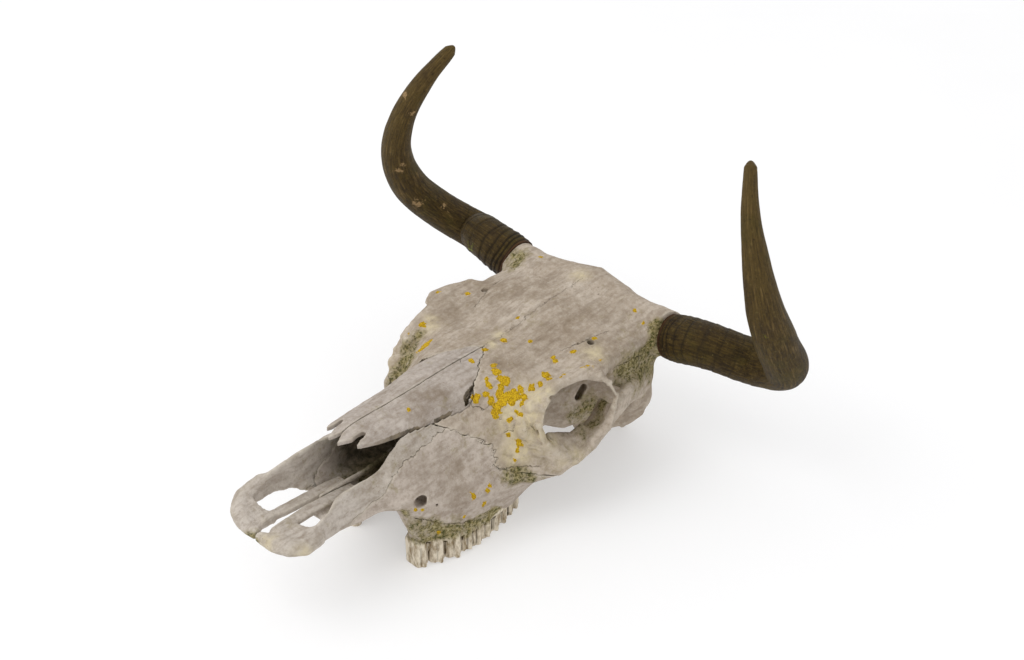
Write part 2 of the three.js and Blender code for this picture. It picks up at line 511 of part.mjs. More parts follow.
// Keeps the largest connected part of a mesh, without crumbs along a suture.
function largest({ points, triangles }) {
  const parent = points.map((_, id) => id);
  const root = (id) => {
    let at = id;
    while (parent[at] !== at) {
      parent[at] = parent[parent[at]];
      at = parent[at];
    }
    return at;
  };
  for (const [a, b, c] of triangles) {
    parent[root(a)] = root(b);
    parent[root(b)] = root(c);
  }
  const sizes = new Map();
  for (const [a] of triangles) sizes.set(root(a), (sizes.get(root(a)) ?? 0) + 1);
  const [[kept]] = [...sizes].sort((one, other) => other[1] - one[1]);
  return { points, triangles: triangles.filter(([a]) => root(a) === kept) };
}

// Keeps the faces that stand on the floor flat while the rest is simplified.
const FLOOR_WEIGHT = 60;
const FLOOR_SNAP = 0.45;

// Collapses edges in order of least squared distance to the planes around them.
function simplify({ points, triangles }, target) {
  const quadrics = points.map(() => new Float64Array(10));
  const around = points.map(() => new Set());
  const alive = triangles.map(() => true);
  const normalOf = (a, b, c) => {
    const u = [b[0] - a[0], b[1] - a[1], b[2] - a[2]];
    const v = [c[0] - a[0], c[1] - a[1], c[2] - a[2]];
    return [u[1] * v[2] - u[2] * v[1], u[2] * v[0] - u[0] * v[2], u[0] * v[1] - u[1] * v[0]];
  };
  triangles.forEach((triangle, t) => {
    const [a, b, c] = triangle.map((id) => points[id]);
    const n = normalOf(a, b, c);
    const size = Math.hypot(...n) || 1e-12;
    const [x, y, z] = n.map((value) => value / size);
    const weight = size * (Math.max(a[2], b[2], c[2]) < 0.05 ? FLOOR_WEIGHT : 1);
    const d = -(x * a[0] + y * a[1] + z * a[2]);
    const plane = [x * x, x * y, x * z, x * d, y * y, y * z, y * d, z * z, z * d, d * d];
    triangle.forEach((id) => {
      around[id].add(t);
      plane.forEach((value, i) => { quadrics[id][i] += value * weight; });
    });
  });
  const error = (q, [x, y, z]) => q[0] * x * x + 2 * q[1] * x * y + 2 * q[2] * x * z + 2 * q[3] * x
    + q[4] * y * y + 2 * q[5] * y * z + 2 * q[6] * y + q[7] * z * z + 2 * q[8] * z + q[9];
  const best = (a, b) => {
    const q = quadrics[a].map((value, i) => value + quadrics[b][i]);
    const middle = points[a].map((value, axis) => (value + points[b][axis]) / 2);
    const choices = [middle, points[a], points[b]];
    const matrix = new THREE.Matrix3().set(q[0], q[1], q[2], q[1], q[4], q[5], q[2], q[5], q[7]);
    const scale = (q[0] + q[4] + q[7]) / 3;
    if (Math.abs(matrix.determinant()) > 1e-4 * scale ** 3) {
      const solved = new THREE.Vector3(-q[3], -q[6], -q[8]).applyMatrix3(matrix.invert()).toArray();
      const away = Math.hypot(...solved.map((value, axis) => value - middle[axis]));
      const edge = Math.hypot(...points[a].map((value, axis) => value - points[b][axis]));
      if (away < edge * 1.5) choices.unshift(solved);
    }
    const costs = choices.map((choice) => error(q, choice));
    const least = costs.indexOf(Math.min(...costs));
    return { a, b, place: choices[least], cost: Math.max(costs[least], 0) };
  };
  const stamp = new Int32Array(points.length);
  const heap = [];
  const push = (item) => {
    let at = heap.push(item) - 1;
    while (at > 0 && heap[(at - 1) >> 1].cost > item.cost) {
      heap[at] = heap[(at - 1) >> 1];
      at = (at - 1) >> 1;
    }
    heap[at] = item;
  };
  const pop = () => {
    const top = heap[0];
    const item = heap.pop();
    if (heap.length === 0) return top;
    let at = 0;
    for (let child = 1; child < heap.length; child = at * 2 + 1) {
      if (child + 1 < heap.length && heap[child + 1].cost < heap[child].cost) child += 1;
      if (heap[child].cost >= item.cost) break;
      heap[at] = heap[child];
      at = child;
    }
    heap[at] = item;
    return top;
  };
  const neighbours = (id) => {
    const ring = new Set();
    around[id].forEach((t) => triangles[t].forEach((other) => ring.add(other)));
    ring.delete(id);
    return ring;
  };
  const queue = (a, b) => {
    const item = best(a, b);
    push({ ...item, stamps: stamp[a] + stamp[b] });
  };
  points.forEach((_, id) => neighbours(id).forEach((other) => { if (other > id) queue(id, other); }));
  const keepsShape = (id, gone, to) => [...around[id]].every((t) => {
    if (triangles[t].includes(gone)) return true;
    const old = triangles[t].map((other) => points[other]);
    const now = triangles[t].map((other) => (other === id ? to : points[other]));
    const [was, is] = [normalOf(...old), normalOf(...now)];
    const area = Math.hypot(...is);
    const edges = now.map((p, i) => Math.hypot(...p.map((value, axis) => value - now[(i + 1) % 3][axis])));
    const turn = (was[0] * is[0] + was[1] * is[1] + was[2] * is[2]) / (Math.hypot(...was) * area || 1e-12);
    return turn > 0.25 && area > 0.03 * Math.max(...edges) ** 2;
  });
  let left = triangles.length;
  while (left > target && heap.length > 0) {
    const { a, b, place, stamps } = pop();
    const fresh = around[a].size > 0 && around[b].size > 0 && stamp[a] + stamp[b] === stamps;
    if (!fresh) continue;
    const ringA = neighbours(a);
    const shared = [...neighbours(b)].filter((id) => ringA.has(id));
    if (!ringA.has(b) || shared.length !== 2) continue;
    if (!keepsShape(a, b, place) || !keepsShape(b, a, place)) continue;
    points[a] = place;
    quadrics[b].forEach((value, i) => { quadrics[a][i] += value; });
    [...around[b]].forEach((t) => {
      if (triangles[t].includes(a)) {
        triangles[t].forEach((id) => around[id].delete(t));
        alive[t] = false;
        left -= 1;
      } else {
        triangles[t] = triangles[t].map((id) => (id === b ? a : id));
        around[a].add(t);
      }
    });
    around[b].clear();
    stamp[a] += 1;
    stamp[b] += 1;
    neighbours(a).forEach((id) => queue(a, id));
  }
  return { points, triangles: triangles.filter((_, t) => alive[t]) };
}

// Packs the used points of a simplified surface into a geometry.
function toGeometry({ points, triangles }) {
  const used = new Map();
  const coordinates = [];
  const indices = triangles.flat().map((id) => {
    if (!used.has(id)) {
      used.set(id, used.size);
      const [x, y, z] = points[id];
      coordinates.push(x, y, z < FLOOR_SNAP ? 0 : z);
    }
    return used.get(id);
  });
  const geometry = new THREE.BufferGeometry();
  geometry.setAttribute('position', new THREE.Float32BufferAttribute(coordinates, 3));
  geometry.setIndex(indices);
  geometry.computeVertexNormals();
  return geometry;
}

// ---------------------------------------------------------------- horn sheaths
// A lathe profile of the sheath, with a socket at its base, bent along the centre line.
function hornSheath(centreLine, taper) {
  const points = centreLine.map((point) => new THREE.Vector3(...point));
  const curve = new THREE.CatmullRomCurve3(points, false, 'centripetal');
  const length = curve.getLength();
  const radiusAt = rail(taper);
  const profile = [[0, SOCKET_DEPTH], [SOCKET_RADIUS, SOCKET_DEPTH], [SOCKET_RADIUS, 0]]
    .map((point) => new THREE.Vector2(...point));
  for (let ring = 0; ring <= HORN_RINGS; ring += 1) {
    const share = 1 - (1 - ring / HORN_RINGS) ** 1.5; // closer together towards the tip
    const tip = Math.sqrt(clamp((1 - share) * 60, 0, 1));
    profile.push(new THREE.Vector2(radiusAt(share)[1] * tip, share * length));
  }
  const lathe = new THREE.LatheGeometry(profile.reverse(), HORN_SIDES);
  lathe.deleteAttribute('normal');
  lathe.deleteAttribute('uv');
  const sheath = mergeVertices(lathe, 1e-3);
  const frames = curve.computeFrenetFrames(160, false);
  const position = sheath.getAttribute('position');
  for (let i = 0; i < position.count; i += 1) {
    const share = clamp(position.getY(i) / length, 0, 1);
    const frame = Math.round(share * 160);
    const at = curve.getPointAt(share)
      .addScaledVector(frames.normals[frame], position.getX(i))
      .addScaledVector(frames.binormals[frame], position.getZ(i));
    position.setXYZ(i, at.x, at.y, at.z);
  }
  return sheath;
}

// ---------------------------------------------------------------- the model
const bone = (colour) => new THREE.MeshStandardMaterial({ color: colour, roughness: 0.85, metalness: 0 });
const materials = {
  skull: bone('#b3a89b'),
  face: bone('#aba096'),
  nasal: bone('#a89e95'),
  incisive: bone('#a39b8d'),
  vomer: bone('#8f8873'),
  horn: new THREE.MeshStandardMaterial({ color: '#443528', roughness: 0.7, metalness: 0 }),
};

const fromField = (field, low, high, step, target) => toGeometry(
  simplify(largest(surface(field, low, high, step)), target),
);

// One side of a paired bone: what lies past the midline's gap, within the bone's own bounds.
const maxilla = (side) => (x, y, z) => Math.max(skullField(x, y, z), KERF / 2 + behindMaxilla(x, y, z),
  KERF / 2 - x * side, KERF / 2 + aboveSuture(x, y, z));
const incisive = (side) => (x, y, z) => Math.max(skullField(x, y, z), KERF / 2 + behindMaxilla(x, y, z),
  KERF / 2 - x * side, KERF / 2 - aboveSuture(x, y, z));
const rest = (x, y, z) => Math.max(skullField(x, y, z), KERF / 2 - behindMaxilla(x, y, z));
const vomer = (x, y, z) => Math.max(vomerPlate(x, y, z), KERF + 0.6 - skullField(x, y, z));
const sideBox = (side, near, far) => [Math.min(side * near, side * far), Math.max(side * near, side * far)];
const paired = (name, field, [near, far], [front, back], [bottom, top], step, target, material) => {
  const oneSide = (side) => {
    const [low, high] = sideBox(side, near, far);
    const geometry = fromField(field(side), [low, front, bottom], [high, back, top], step, target);
    return [`${name}_${side > 0 ? 'left' : 'right'}`, geometry, material];
  };
  return [oneSide(1), oneSide(-1)];
};
const pieces = [
  ['cranium', fromField(rest, [-138, -70, -6], [138, 250, 178], GRID, 4100), materials.skull],
  ...paired('maxilla', maxilla, [-4, 124], [-186, 66], [-6, 162], GRID, 1340, materials.face),
  ...paired('incisive', incisive, [-4, 58], [-264, -30], [66, 170], FINE_GRID, 480, materials.incisive),
  ...paired('nasal', nasal, [-4, 46], [-156, 62], [126, 170], FINE_GRID, 280, materials.nasal),
  ['vomer', fromField(vomer, [-8, -175, 70], [8, 4, 110], FINE_GRID, 120), materials.vomer],
  ['horn_left', hornSheath(HORN_LEFT, TAPER_LEFT), materials.horn],
  ['horn_right', hornSheath(HORN_RIGHT, TAPER_RIGHT), materials.horn],
];

const skull = new THREE.Group();
for (const [name, geometry, material] of pieces) {
  const mesh = new THREE.Mesh(geometry, material);
  mesh.name = name;
  skull.add(mesh);
}
// The origin lies under the middle of the whole model, on the floor.
const middle = new THREE.Box3().setFromObject(skull).getCenter(new THREE.Vector3());
skull.position.set(-middle.x, -middle.y, 0);

export default skull;
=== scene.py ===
# A weathered cow skull with its horn sheaths, lying on its cheek teeth on a pale floor.
# The shape tables are in millimetres in the skull's own frame: +Z up, nose towards -Y, its left at +X.
# SHIFT moves that frame to the middle of the whole model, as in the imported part.
import math
import bpy
import numpy as np
from mathutils import Matrix


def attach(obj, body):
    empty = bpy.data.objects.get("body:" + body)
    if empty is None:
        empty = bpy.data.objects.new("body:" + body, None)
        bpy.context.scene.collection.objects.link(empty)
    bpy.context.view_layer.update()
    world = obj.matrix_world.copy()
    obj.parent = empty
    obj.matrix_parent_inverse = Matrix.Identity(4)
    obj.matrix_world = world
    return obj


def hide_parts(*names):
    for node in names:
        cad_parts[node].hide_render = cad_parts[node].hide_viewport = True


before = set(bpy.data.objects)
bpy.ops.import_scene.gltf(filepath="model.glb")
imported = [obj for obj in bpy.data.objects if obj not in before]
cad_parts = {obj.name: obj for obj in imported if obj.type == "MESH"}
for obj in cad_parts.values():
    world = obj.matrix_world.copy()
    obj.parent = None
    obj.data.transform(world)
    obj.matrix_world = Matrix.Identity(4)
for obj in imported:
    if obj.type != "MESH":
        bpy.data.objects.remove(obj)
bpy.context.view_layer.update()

SHIFT = np.array([1.6237, -7.5233, 0.0])
STEP = 1.15  # sampling step of the bones
THIN_STEP = 1.0  # and of the thin plates
KERF = 0.16  # gap along a suture that parts two pieces

# ------------------------------------------------------------------ rails: [y, x, z]
RIDGE = [[-150, 0, 154], [-119, 0, 158.5], [-60, 0, 157.5], [0, 0, 158.5], [52, 0, 156.5], [75, 0, 155.5],
    [107, 0, 160], [150, 0, 165], [185, 0, 165], [212, 0, 169], [232, 0, 166]]
FACE_RIDGE = [[-222, 0, 100], [-206, 0, 100], [-190, 0, 140], [-150, 0, 154], [-119, 0, 158.5],
    [-60, 0, 157.5], [0, 0, 158.5], [50, 0, 156.5]]
NASAL_SHOULDER = [[-150, 14, 152], [-110, 19, 153.5], [-60, 22, 152.5], [-10, 27, 153.5], [20, 24, 154],
    [52, 14, 155]]
NASAL_EDGE = [[-150, 20, 149], [-135, 21, 151], [-109, 24, 145.5], [-62, 30, 139], [-35, 33.5, 136],
    [-11, 36, 137], [20, 36, 138], [52, 30, 140]]
FACE_TOP = [[-222, 34, 103], [-190, 33, 108], [-170, 31, 114], [-140, 29, 118], [-122, 28, 123],
    [-106, 29, 134], [-80, 31, 141], [-52, 34, 139], [-11, 37, 138.5], [0, 34, 151], [50, 50, 150]]
FACE_CHEEK = [[-222, 41, 99], [-190, 37, 97], [-168, 34, 98], [-140, 36, 102], [-116, 42, 112],
    [-105, 42, 118], [-60, 41, 127], [-42, 43, 129], [-15, 57, 114], [5, 70, 113], [20, 85, 114],
    [50, 98, 121]]
FACE_CREST = [[-222, 41, 93], [-190, 38, 88], [-168, 34, 84], [-140, 36, 81], [-126, 42, 82],
    [-116, 50, 84], [-98, 60, 85], [-70, 67, 72], [-40, 75, 64], [0, 85, 64], [28, 94, 63], [50, 102, 68]]
FACE_GUM = [[-222, 38, 90], [-190, 36, 84], [-168, 32, 79], [-140, 33, 75], [-126, 38, 78], [-111, 49, 76],
    [-104, 53, 40], [-85, 58, 26], [-62, 68, 21], [-39, 71, 19], [0, 71, 19], [40, 67, 24], [50, 66, 46]]
FACE_PALATE = [[-222, 20, 90], [-168, 18, 82], [-140, 18, 77], [-104, 28, 75], [-92, 34, 42], [-80, 36, 31],
    [-39, 46, 26], [0, 44, 26], [36, 38, 29], [50, 30, 56]]
FACE_VAULT = [[-222, 0, 94], [-168, 0, 84], [-140, 0, 78], [-108, 0, 70], [-60, 0, 62], [0, 0, 58],
    [50, 0, 58]]
FRONTAL = [[-5, 34, 150], [50, 52, 151.5], [75, 62, 150], [107, 66, 153.5], [150, 62, 159], [190, 56, 160],
    [212, 46, 162], [236, 36, 156]]
BROW = [[-5, 50, 122], [20, 84, 118], [40, 95, 127], [60, 98, 140], [80, 105, 146], [100, 120, 145],
    [115, 116, 145], [135, 106, 146], [160, 98, 145], [190, 92, 144], [210, 84, 143], [236, 56, 136]]
TEMPLE = [[-5, 60, 100], [20, 66, 100], [40, 50, 102], [60, 44, 106], [90, 44, 110], [125, 52, 112],
    [148, 63, 112], [166, 80, 110], [188, 87, 104], [205, 89, 100], [222, 78, 98], [236, 56, 96]]
CASE_SIDE = [[-5, 50, 60], [40, 40, 60], [60, 38, 58], [100, 42, 56], [125, 54, 50], [148, 60, 50],
    [168, 70, 50], [190, 79, 46], [205, 84, 44], [222, 70, 48], [236, 44, 56]]
CASE_BASE = [[-5, 30, 52], [40, 24, 48], [100, 24, 46], [125, 42, 38], [150, 44, 36], [180, 44, 36],
    [205, 44, 34], [222, 34, 38], [236, 26, 48]]
CASE_KEEL = [[-5, 0, 56], [40, 0, 54], [100, 0, 54], [150, 0, 45], [200, 0, 41], [236, 0, 48]]
CAVITY_TOP = [[-240, 0, 190], [-110, 0, 180], [0, 0, 152], [30, 0, 140]]
CAVITY_SHOULDER = [[-240, 30, 190], [-190, 28, 170], [-140, 25, 160], [-100, 25, 152], [-60, 26, 148],
    [0, 26, 146], [30, 16, 136]]
CAVITY_SIDE = [[-240, 32, 110], [-190, 31, 104], [-168, 27, 104], [-140, 28, 112], [-100, 33, 118],
    [-60, 36, 122], [0, 32, 118], [30, 18, 118]]
CAVITY_CORNER = [[-240, 30, 60], [-176, 27, 64], [-164, 25, 90], [-140, 26, 86], [-100, 32, 86],
    [-60, 32, 84], [0, 26, 86], [30, 14, 96]]
CAVITY_FLOOR = [[-240, 0, 60], [-176, 0, 62], [-164, 0, 92], [-140, 0, 86], [-100, 0, 82], [-60, 0, 78],
    [0, 0, 80], [30, 0, 94]]
INCISIVE_SUTURE = [[-177, 0, 58], [-168, 0, 79], [-128, 0, 98], [-116, 0, 110], [-105, 0, 118.5],
    [-60, 0, 127], [-43, 0, 131], [-36, 0, 160]]

# Cheek teeth: [front y, length along the row, lobes]
TEETH = [[-98, 14, 1], [-83.5, 15, 1], [-68, 17, 1], [-50.5, 24, 2], [-26, 27, 2], [1.5, 37, 3]]
TOOTH_ROW = [[-98, 43, 0], [-85, 48, 0], [-60, 58, 0], [-35, 61, 0], [-6, 59, 0], [10, 56.5, 0],
    [40, 49, 0]]
TOOTH_HALF_WIDTH = 9.5
TOOTH_TOP = 40
GUM_LINE = 27

SOCKET_RADIUS = 20.5
SOCKET_DEPTH = 14
CORE_RADIUS = 16.5
CORE_LENGTH = 10
NECK_RADIUS = 22.5
HORN_LEFT = [[103, 217, 132], [147, 216.5, 141.5], [191, 237, 131], [227.5, 232, 145], [233, 205, 188],
    [230, 184, 235], [222, 176, 282.5], [207, 181.5, 328.5], [186, 206.5, 364]]
HORN_RIGHT = [[-105.5, 216.5, 136.5], [-152, 218, 146], [-191, 243, 129], [-223.5, 220.5, 152.5],
    [-237.5, 190.5, 189.5], [-237.5, 171.5, 235], [-224.5, 169.5, 282], [-203.5, 181, 326],
    [-183.5, 207, 363.5]]
TAPER_LEFT = [[0, 0, 23.8], [0.3, 0, 23], [0.5, 0, 21.5], [0.62, 0, 18.5], [0.75, 0, 13.8], [0.88, 0, 9.4],
    [0.96, 0, 7], [1, 0, 5.8]]
TAPER_RIGHT = [[0, 0, 25], [0.15, 0, 23.2], [0.35, 0, 21.5], [0.5, 0, 20.5], [0.62, 0, 17.5], [0.75, 0, 14],
    [0.88, 0, 10.8], [0.96, 0, 8], [1, 0, 6]]


# ------------------------------------------------------------------ noise
CORNERS = [(corner & 1, corner >> 1 & 1, corner >> 2) for corner in range(8)]


def lattice(cells, seed):
    """A pseudo-random value between -1 and 1 for each whole-numbered cell."""
    mixed = cells[0] * 73856093 ^ cells[1] * 19349663 ^ cells[2] * 83492791 ^ (seed * 2654435761)
    mixed = (mixed ^ (mixed >> 13)) * 1274126177
    mixed = (mixed ^ (mixed >> 16)) & 0xFFFFFF
    return mixed.astype(np.float32) / 8388607.5 - 1


def noise(points, size, seed=0):
    """Smooth value noise with features about `size` across, one value per point."""
    at = np.asarray(points, np.float64).T / size
    cell = np.floor(at).astype(np.int64)
    part = (at - cell).astype(np.float32)
    part = part * part * (3 - 2 * part)
    total = np.zeros(at.shape[1], np.float32)
    for offset in CORNERS:
        weight = np.ones_like(total)
        for axis in range(3):
            weight = weight * (part[axis] if offset[axis] else 1 - part[axis])
        total += weight * lattice([cell[axis] + offset[axis] for axis in range(3)], seed)
    return total


def layered(points, size, octaves, seed=0, fall=0.5):
    """Several octaves of noise, between about -1 and 1."""
    total = sum(noise(points, size / 2 ** i, seed + 31 * i) * fall ** i for i in range(octaves))
    return total / sum(fall ** i for i in range(octaves))


# ------------------------------------------------------------------ fields on one slice of y
def clamp(value, low, high):
    return min(max(value, low), high)


def soft_min(a, b, reach):
    near = np.maximum(reach - np.abs(a - b), 0) / reach
    return np.minimum(a, b) - near * near * (reach * 0.25)


def join(bone, other, reach):
    return bone if other is None else soft_min(bone, other, reach)


def carve(bone, tool, reach):
    return bone if tool is None else -soft_min(-bone, tool, reach)


def rail(points):
    """A smooth curve through the points without overshoot: y -> (x, z)."""
    table = np.array(points, float)
    gap = np.diff(table[:, 0])
    rise = np.diff(table[:, 1:], axis=0) / gap[:, None]
    slope = np.zeros((len(table), 2))
    product = rise[:-1] * rise[1:]
    smooth = product > 0
    slope[1:-1][smooth] = 2 * product[smooth] / (rise[:-1] + rise[1:])[smooth]

    def at(y):
        y = clamp(y, table[0, 0], table[-1, 0])
        i = int(clamp(np.searchsorted(table[:, 0], y, side="right") - 1, 0, len(table) - 2))
        t = (y - table[i, 0]) / gap[i]
        return (table[i, 1:] * (1 + 2 * t) * (1 - t) ** 2 + table[i + 1, 1:] * t * t * (3 - 2 * t)
                + gap[i] * (slope[i] * t * (1 - t) ** 2 - slope[i + 1] * t * t * (1 - t)))
    return at


def half_outline(x, z, outline):
    """Distance to one half of a closed outline whose ends lie on the midline."""
    nearest = np.full(x.shape, 1e9, np.float32)
    inside = np.zeros(x.shape, bool)
    last = len(outline) - 1
    for i in range(last + 1):
        ax, az = (float(v) for v in outline[i])
        bx, bz = (float(v) for v in outline[(i + 1) % (last + 1)])
        if az != bz:
            inside ^= ((az > z) != (bz > z)) & (x < ax + (z - az) * ((bx - ax) / (bz - az)))
        if i < last:
            dx, dz = bx - ax, bz - az
            t = np.clip(((x - ax) * dx + (z - az) * dz) / (dx * dx + dz * dz), 0, 1)
            nearest = np.minimum(nearest, (x - ax - t * dx) ** 2 + (z - az - t * dz) ** 2)
    nearest = np.sqrt(nearest)
    return np.where(inside, -nearest, nearest)


def inset(outline, radius):
    """Draws the corners inwards, so that the outline can be grown again with round corners."""
    end = len(outline) - 1
    drawn = []
    for i, point in enumerate(outline):
        before = outline[i - 1] if i > 0 else np.array([-outline[1][0], outline[1][1]])
        after = outline[i + 1] if i < end else np.array([-outline[end - 1][0], outline[end - 1][1]])
        inward = np.array([point[1] - before[1], before[0] - point[0]])
        outgoing = np.array([after[1] - point[1], point[0] - after[0]])
        inward = inward / np.linalg.norm(inward)
        outgoing = outgoing / np.linalg.norm(outgoing)
        middle = (inward + outgoing) / max(np.linalg.norm(inward + outgoing), 1e-9)
        reach = min(radius / max(middle @ inward, 0.35), 2.4 * radius)
        drawn.append([max(point[0] + middle[0] * reach, 0), point[1] + middle[1] * reach])
    return drawn


def loft(rails, front, back, radius):
    """A body whose half-sections join the given rails, from front to back."""
    curves = [rail(points) for points in rails]

    def field(x, y, z):
        section = inset([curve(clamp(y, front, back)) for curve in curves], radius)
        around = half_outline(np.abs(x), z, section) - radius
        return soft_min(-around, -max(front - y, y - back), 6) * -1
    return field


def ribbon(stations, up=(0, 0, 1), pad=16):
    """A plate or rod along stations (x, y, z, radius, half-height); it spreads along `up`."""
    u = np.array(up, float)
    rows = [list(map(float, station)) + [0.0] * (5 - len(station)) for station in stations]

    def field(x, y, z):
        nearest = None
        for a, b in zip(rows, rows[1:]):
            room = max(a[3], b[3]) + max(a[4], b[4]) * abs(u[1]) + pad
            if y < min(a[1], b[1]) - room or y > max(a[1], b[1]) + room:
                continue
            s = np.subtract(b[:3], a[:3])
            p = s - (s @ u) * u
            dx, dy, dz = x - a[0], y - a[1], z - a[2]
            t = np.clip((dx * p[0] + dy * p[1] + dz * p[2]) / (p @ p), 0, 1).astype(np.float32)
            dx, dy, dz = dx - t * s[0], dy - t * s[1], dz - t * s[2]
            half = a[4] + t * (b[4] - a[4])
            along = np.clip(dx * u[0] + dy * u[1] + dz * u[2], -half, half)
            away = np.sqrt((dx - along * u[0]) ** 2 + (dy - along * u[1]) ** 2
                           + (dz - along * u[2]) ** 2) - (a[3] + t * (b[3] - a[3]))
            nearest = away if nearest is None else np.minimum(nearest, away)
        return nearest
    return field


def turned(turn):
    """The rotation about x, y and z in degrees."""
    x, y, z = (math.radians(angle) for angle in turn)
    return np.array(Matrix.Rotation(x, 3, "X") @ Matrix.Rotation(y, 3, "Y") @ Matrix.Rotation(z, 3, "Z"))


def ellipsoid(centre, radii, turn=(0, 0, 0), pad=16):
    """An ellipsoid at a centre, turned about the x, y and z axes in degrees."""
    rows = turned(turn).T
    smallest, largest = min(radii), max(radii)

    def field(x, y, z):
        if abs(y - centre[1]) > largest + pad:
            return None
        dx, dy, dz = x - centre[0], y - centre[1], z - centre[2]
        total = sum(((row[0] * dx + row[1] * dy + row[2] * dz) / radius) ** 2
                    for row, radius in zip(rows, radii))
        return (np.sqrt(total) - 1) * smallest
    return field


def mirrored(field):
    return lambda x, y, z: field(np.abs(x), y, z)


# ------------------------------------------------------------------ bones
face = loft([FACE_RIDGE, FACE_TOP, FACE_CHEEK, FACE_CREST, FACE_GUM, FACE_PALATE, FACE_VAULT], -216, 49, 4)
braincase = loft([RIDGE, FRONTAL, BROW, TEMPLE, CASE_SIDE, CASE_BASE, CASE_KEEL], 0, 232, 9)
cavity = loft([CAVITY_TOP, CAVITY_SHOULDER, CAVITY_SIDE, CAVITY_CORNER, CAVITY_FLOOR], -212, 26, 5)

orbit_rim = mirrored(ribbon([[90, 45, 144, 3.6], [92, 33, 135, 3.8], [95, 26, 122, 4], [102, 29, 101, 4],
    [109, 46, 80.5, 3.8], [112.6, 61, 72, 3.4], [116, 81, 79.5, 3], [118, 99.5, 92, 3],
    [117.5, 109, 111, 3], [116, 114, 121, 3], [112.6, 107, 137.4, 3.2], [106, 99.5, 146.5, 3.2],
    [96.7, 91, 149, 3.2], [90, 58, 149, 3.2], [90, 45, 144, 3.6]]))
brow_plate = mirrored(ribbon([[80, 22, 118, 8], [82, 32, 134, 8], [84, 56, 144, 7], [90, 80, 146, 6],
    [98, 102, 146, 6]]))
cheek_plate = mirrored(ribbon([[86, 16, 116, 8], [91, 23, 106, 9], [96, 31, 94, 9], [101, 39, 83, 8.5]]))
temporal_wall = mirrored(ribbon([[90, 134, 126, 6, 10], [90, 160, 119, 8, 16], [85, 186, 104, 8, 30],
    [80, 197, 94, 9, 35]]))
ear_plate = mirrored(ribbon([[67, 170, 42, 6, 8], [71, 188, 42, 7, 11], [74, 204, 45, 7, 11]]))
socket = mirrored(ellipsoid([98, 73, 110], [54, 42, 35], [0, 10, 0]))
orbit_bowl = mirrored(ellipsoid([104, 70, 112.5], [46, 41, 35.5], [0, 10, 0]))
floor_front = mirrored(ribbon([[100, 40, 95, 3.5, 9], [101.5, 53, 87, 3.5, 11], [102.5, 70, 79, 3.5, 10],
    [104, 85.5, 81.4, 3.5, 11]], [0.83, -0.3, -0.47]))
floor_back = mirrored(ribbon([[104, 85.5, 81.4, 3.5, 11], [105, 104, 90, 3.5, 12],
    [105, 115, 102, 3.5, 12]], [0.92, -0.33, 0.2]))
right_brow = ribbon([[-80, 44, 137, 6, 8], [-85, 58, 141, 6, 9], [-91, 78, 143.5, 6, 12],
    [-100, 97, 144.5, 6, 12], [-96, 116, 145.5, 6, 11], [-87, 134, 147, 7, 9]], [1, 0, 0])
right_cheek = ribbon([[-70, -6, 104, 8, 6], [-83, 20, 103, 8, 8], [-92, 42, 100, 8, 8]])
malar = mirrored(ribbon([[88, 26, 68, 8, 7], [104, 44, 69, 6.5, 4], [110, 60, 72, 4, 3],
    [114, 82, 81, 3.5, 3], [116, 99, 93, 3.6, 4], [114, 120, 103, 4.5, 6], [107, 142, 102, 5, 7],
    [97, 170, 95, 7, 8], [80, 188, 88, 9, 8]]))
horn_neck = mirrored(ribbon([[62, 206, 137, 24], [84, 213, 136, 23.5], [112, 217, 136, NECK_RADIUS]], pad=30))
mastoid = mirrored(ribbon([[66, 199, 108, 11], [73, 202, 84, 9], [74, 204, 56, 9], [70, 202, 42, 8.5]]))
ear_canal = mirrored(ribbon([[56, 180, 50, 11], [82, 184, 60, 9]]))
condyle = mirrored(ellipsoid([27, 226, 50], [15, 15, 21], [20, 0, 20]))
paracondylar = mirrored(ribbon([[52, 214, 46, 9, 4], [53, 213, 24, 6, 6], [53, 210, 5, 3.6, 4]], [0, 1, 0]))
bulla = mirrored(ellipsoid([42, 164, 34], [12, 22, 17]))
foramen_magnum = ribbon([[0, 205, 66, 13], [0, 250, 66, 18]])
pterygoid = mirrored(ribbon([[22, 30, 50, 4, 12], [20, 70, 42, 3.5, 18], [20, 104, 36, 3.5, 12]]))
choana = ribbon([[0, 26, 44, 13, 10], [0, 112, 34, 13, 10]])
infraorbital = mirrored(ribbon([[67, -110, 84, 4.6, 0.5], [52, -88, 82, 5.4, 1]]))
lacrimal_hole = mirrored(ribbon([[96, 41, 145, 2.6], [86, 59, 136, 2.6]]))
small_holes = [ribbon([[66, -84, 75, 1.2], [60, -76, 71, 1.2]]), ribbon([[78, -36, 84, 1.1],
    [70, -30, 80, 1.1]]), ribbon([[26, 189, 168, 1.3], [29, 193, 158, 1.3]])]
oval_foramen = mirrored(ribbon([[74, 124, 93, 4, 5.5], [46, 139, 81, 4, 5.5]], [0, 0.6, 0.8]))
nasal_gap = ribbon([[31.8, 2.5, 150, 0.9, 12], [34.5, -6, 147, 1.9, 13], [36.2, -12.5, 143, 1.5, 13]])
supraorbital = mirrored(ribbon([[72, 131, 166, 3.2], [69, 127, 144, 3.2]], [0, 1, 0]))
near_edge = ribbon([[5, -241.5, 101, 4.5], [19, -237.5, 99, 6.5], [33, -232, 98, 7], [41, -222, 97, 7],
    [39, -204, 95, 6]])
far_edge = ribbon([[-5, -239, 98, 4.5], [-20, -237, 99, 6.5], [-32, -233, 98.5, 7], [-39, -224, 97, 7],
    [-38, -206, 95, 6]])
incisive_plate = mirrored(ellipsoid([22, -226, 99.5], [17, 18, 5]))
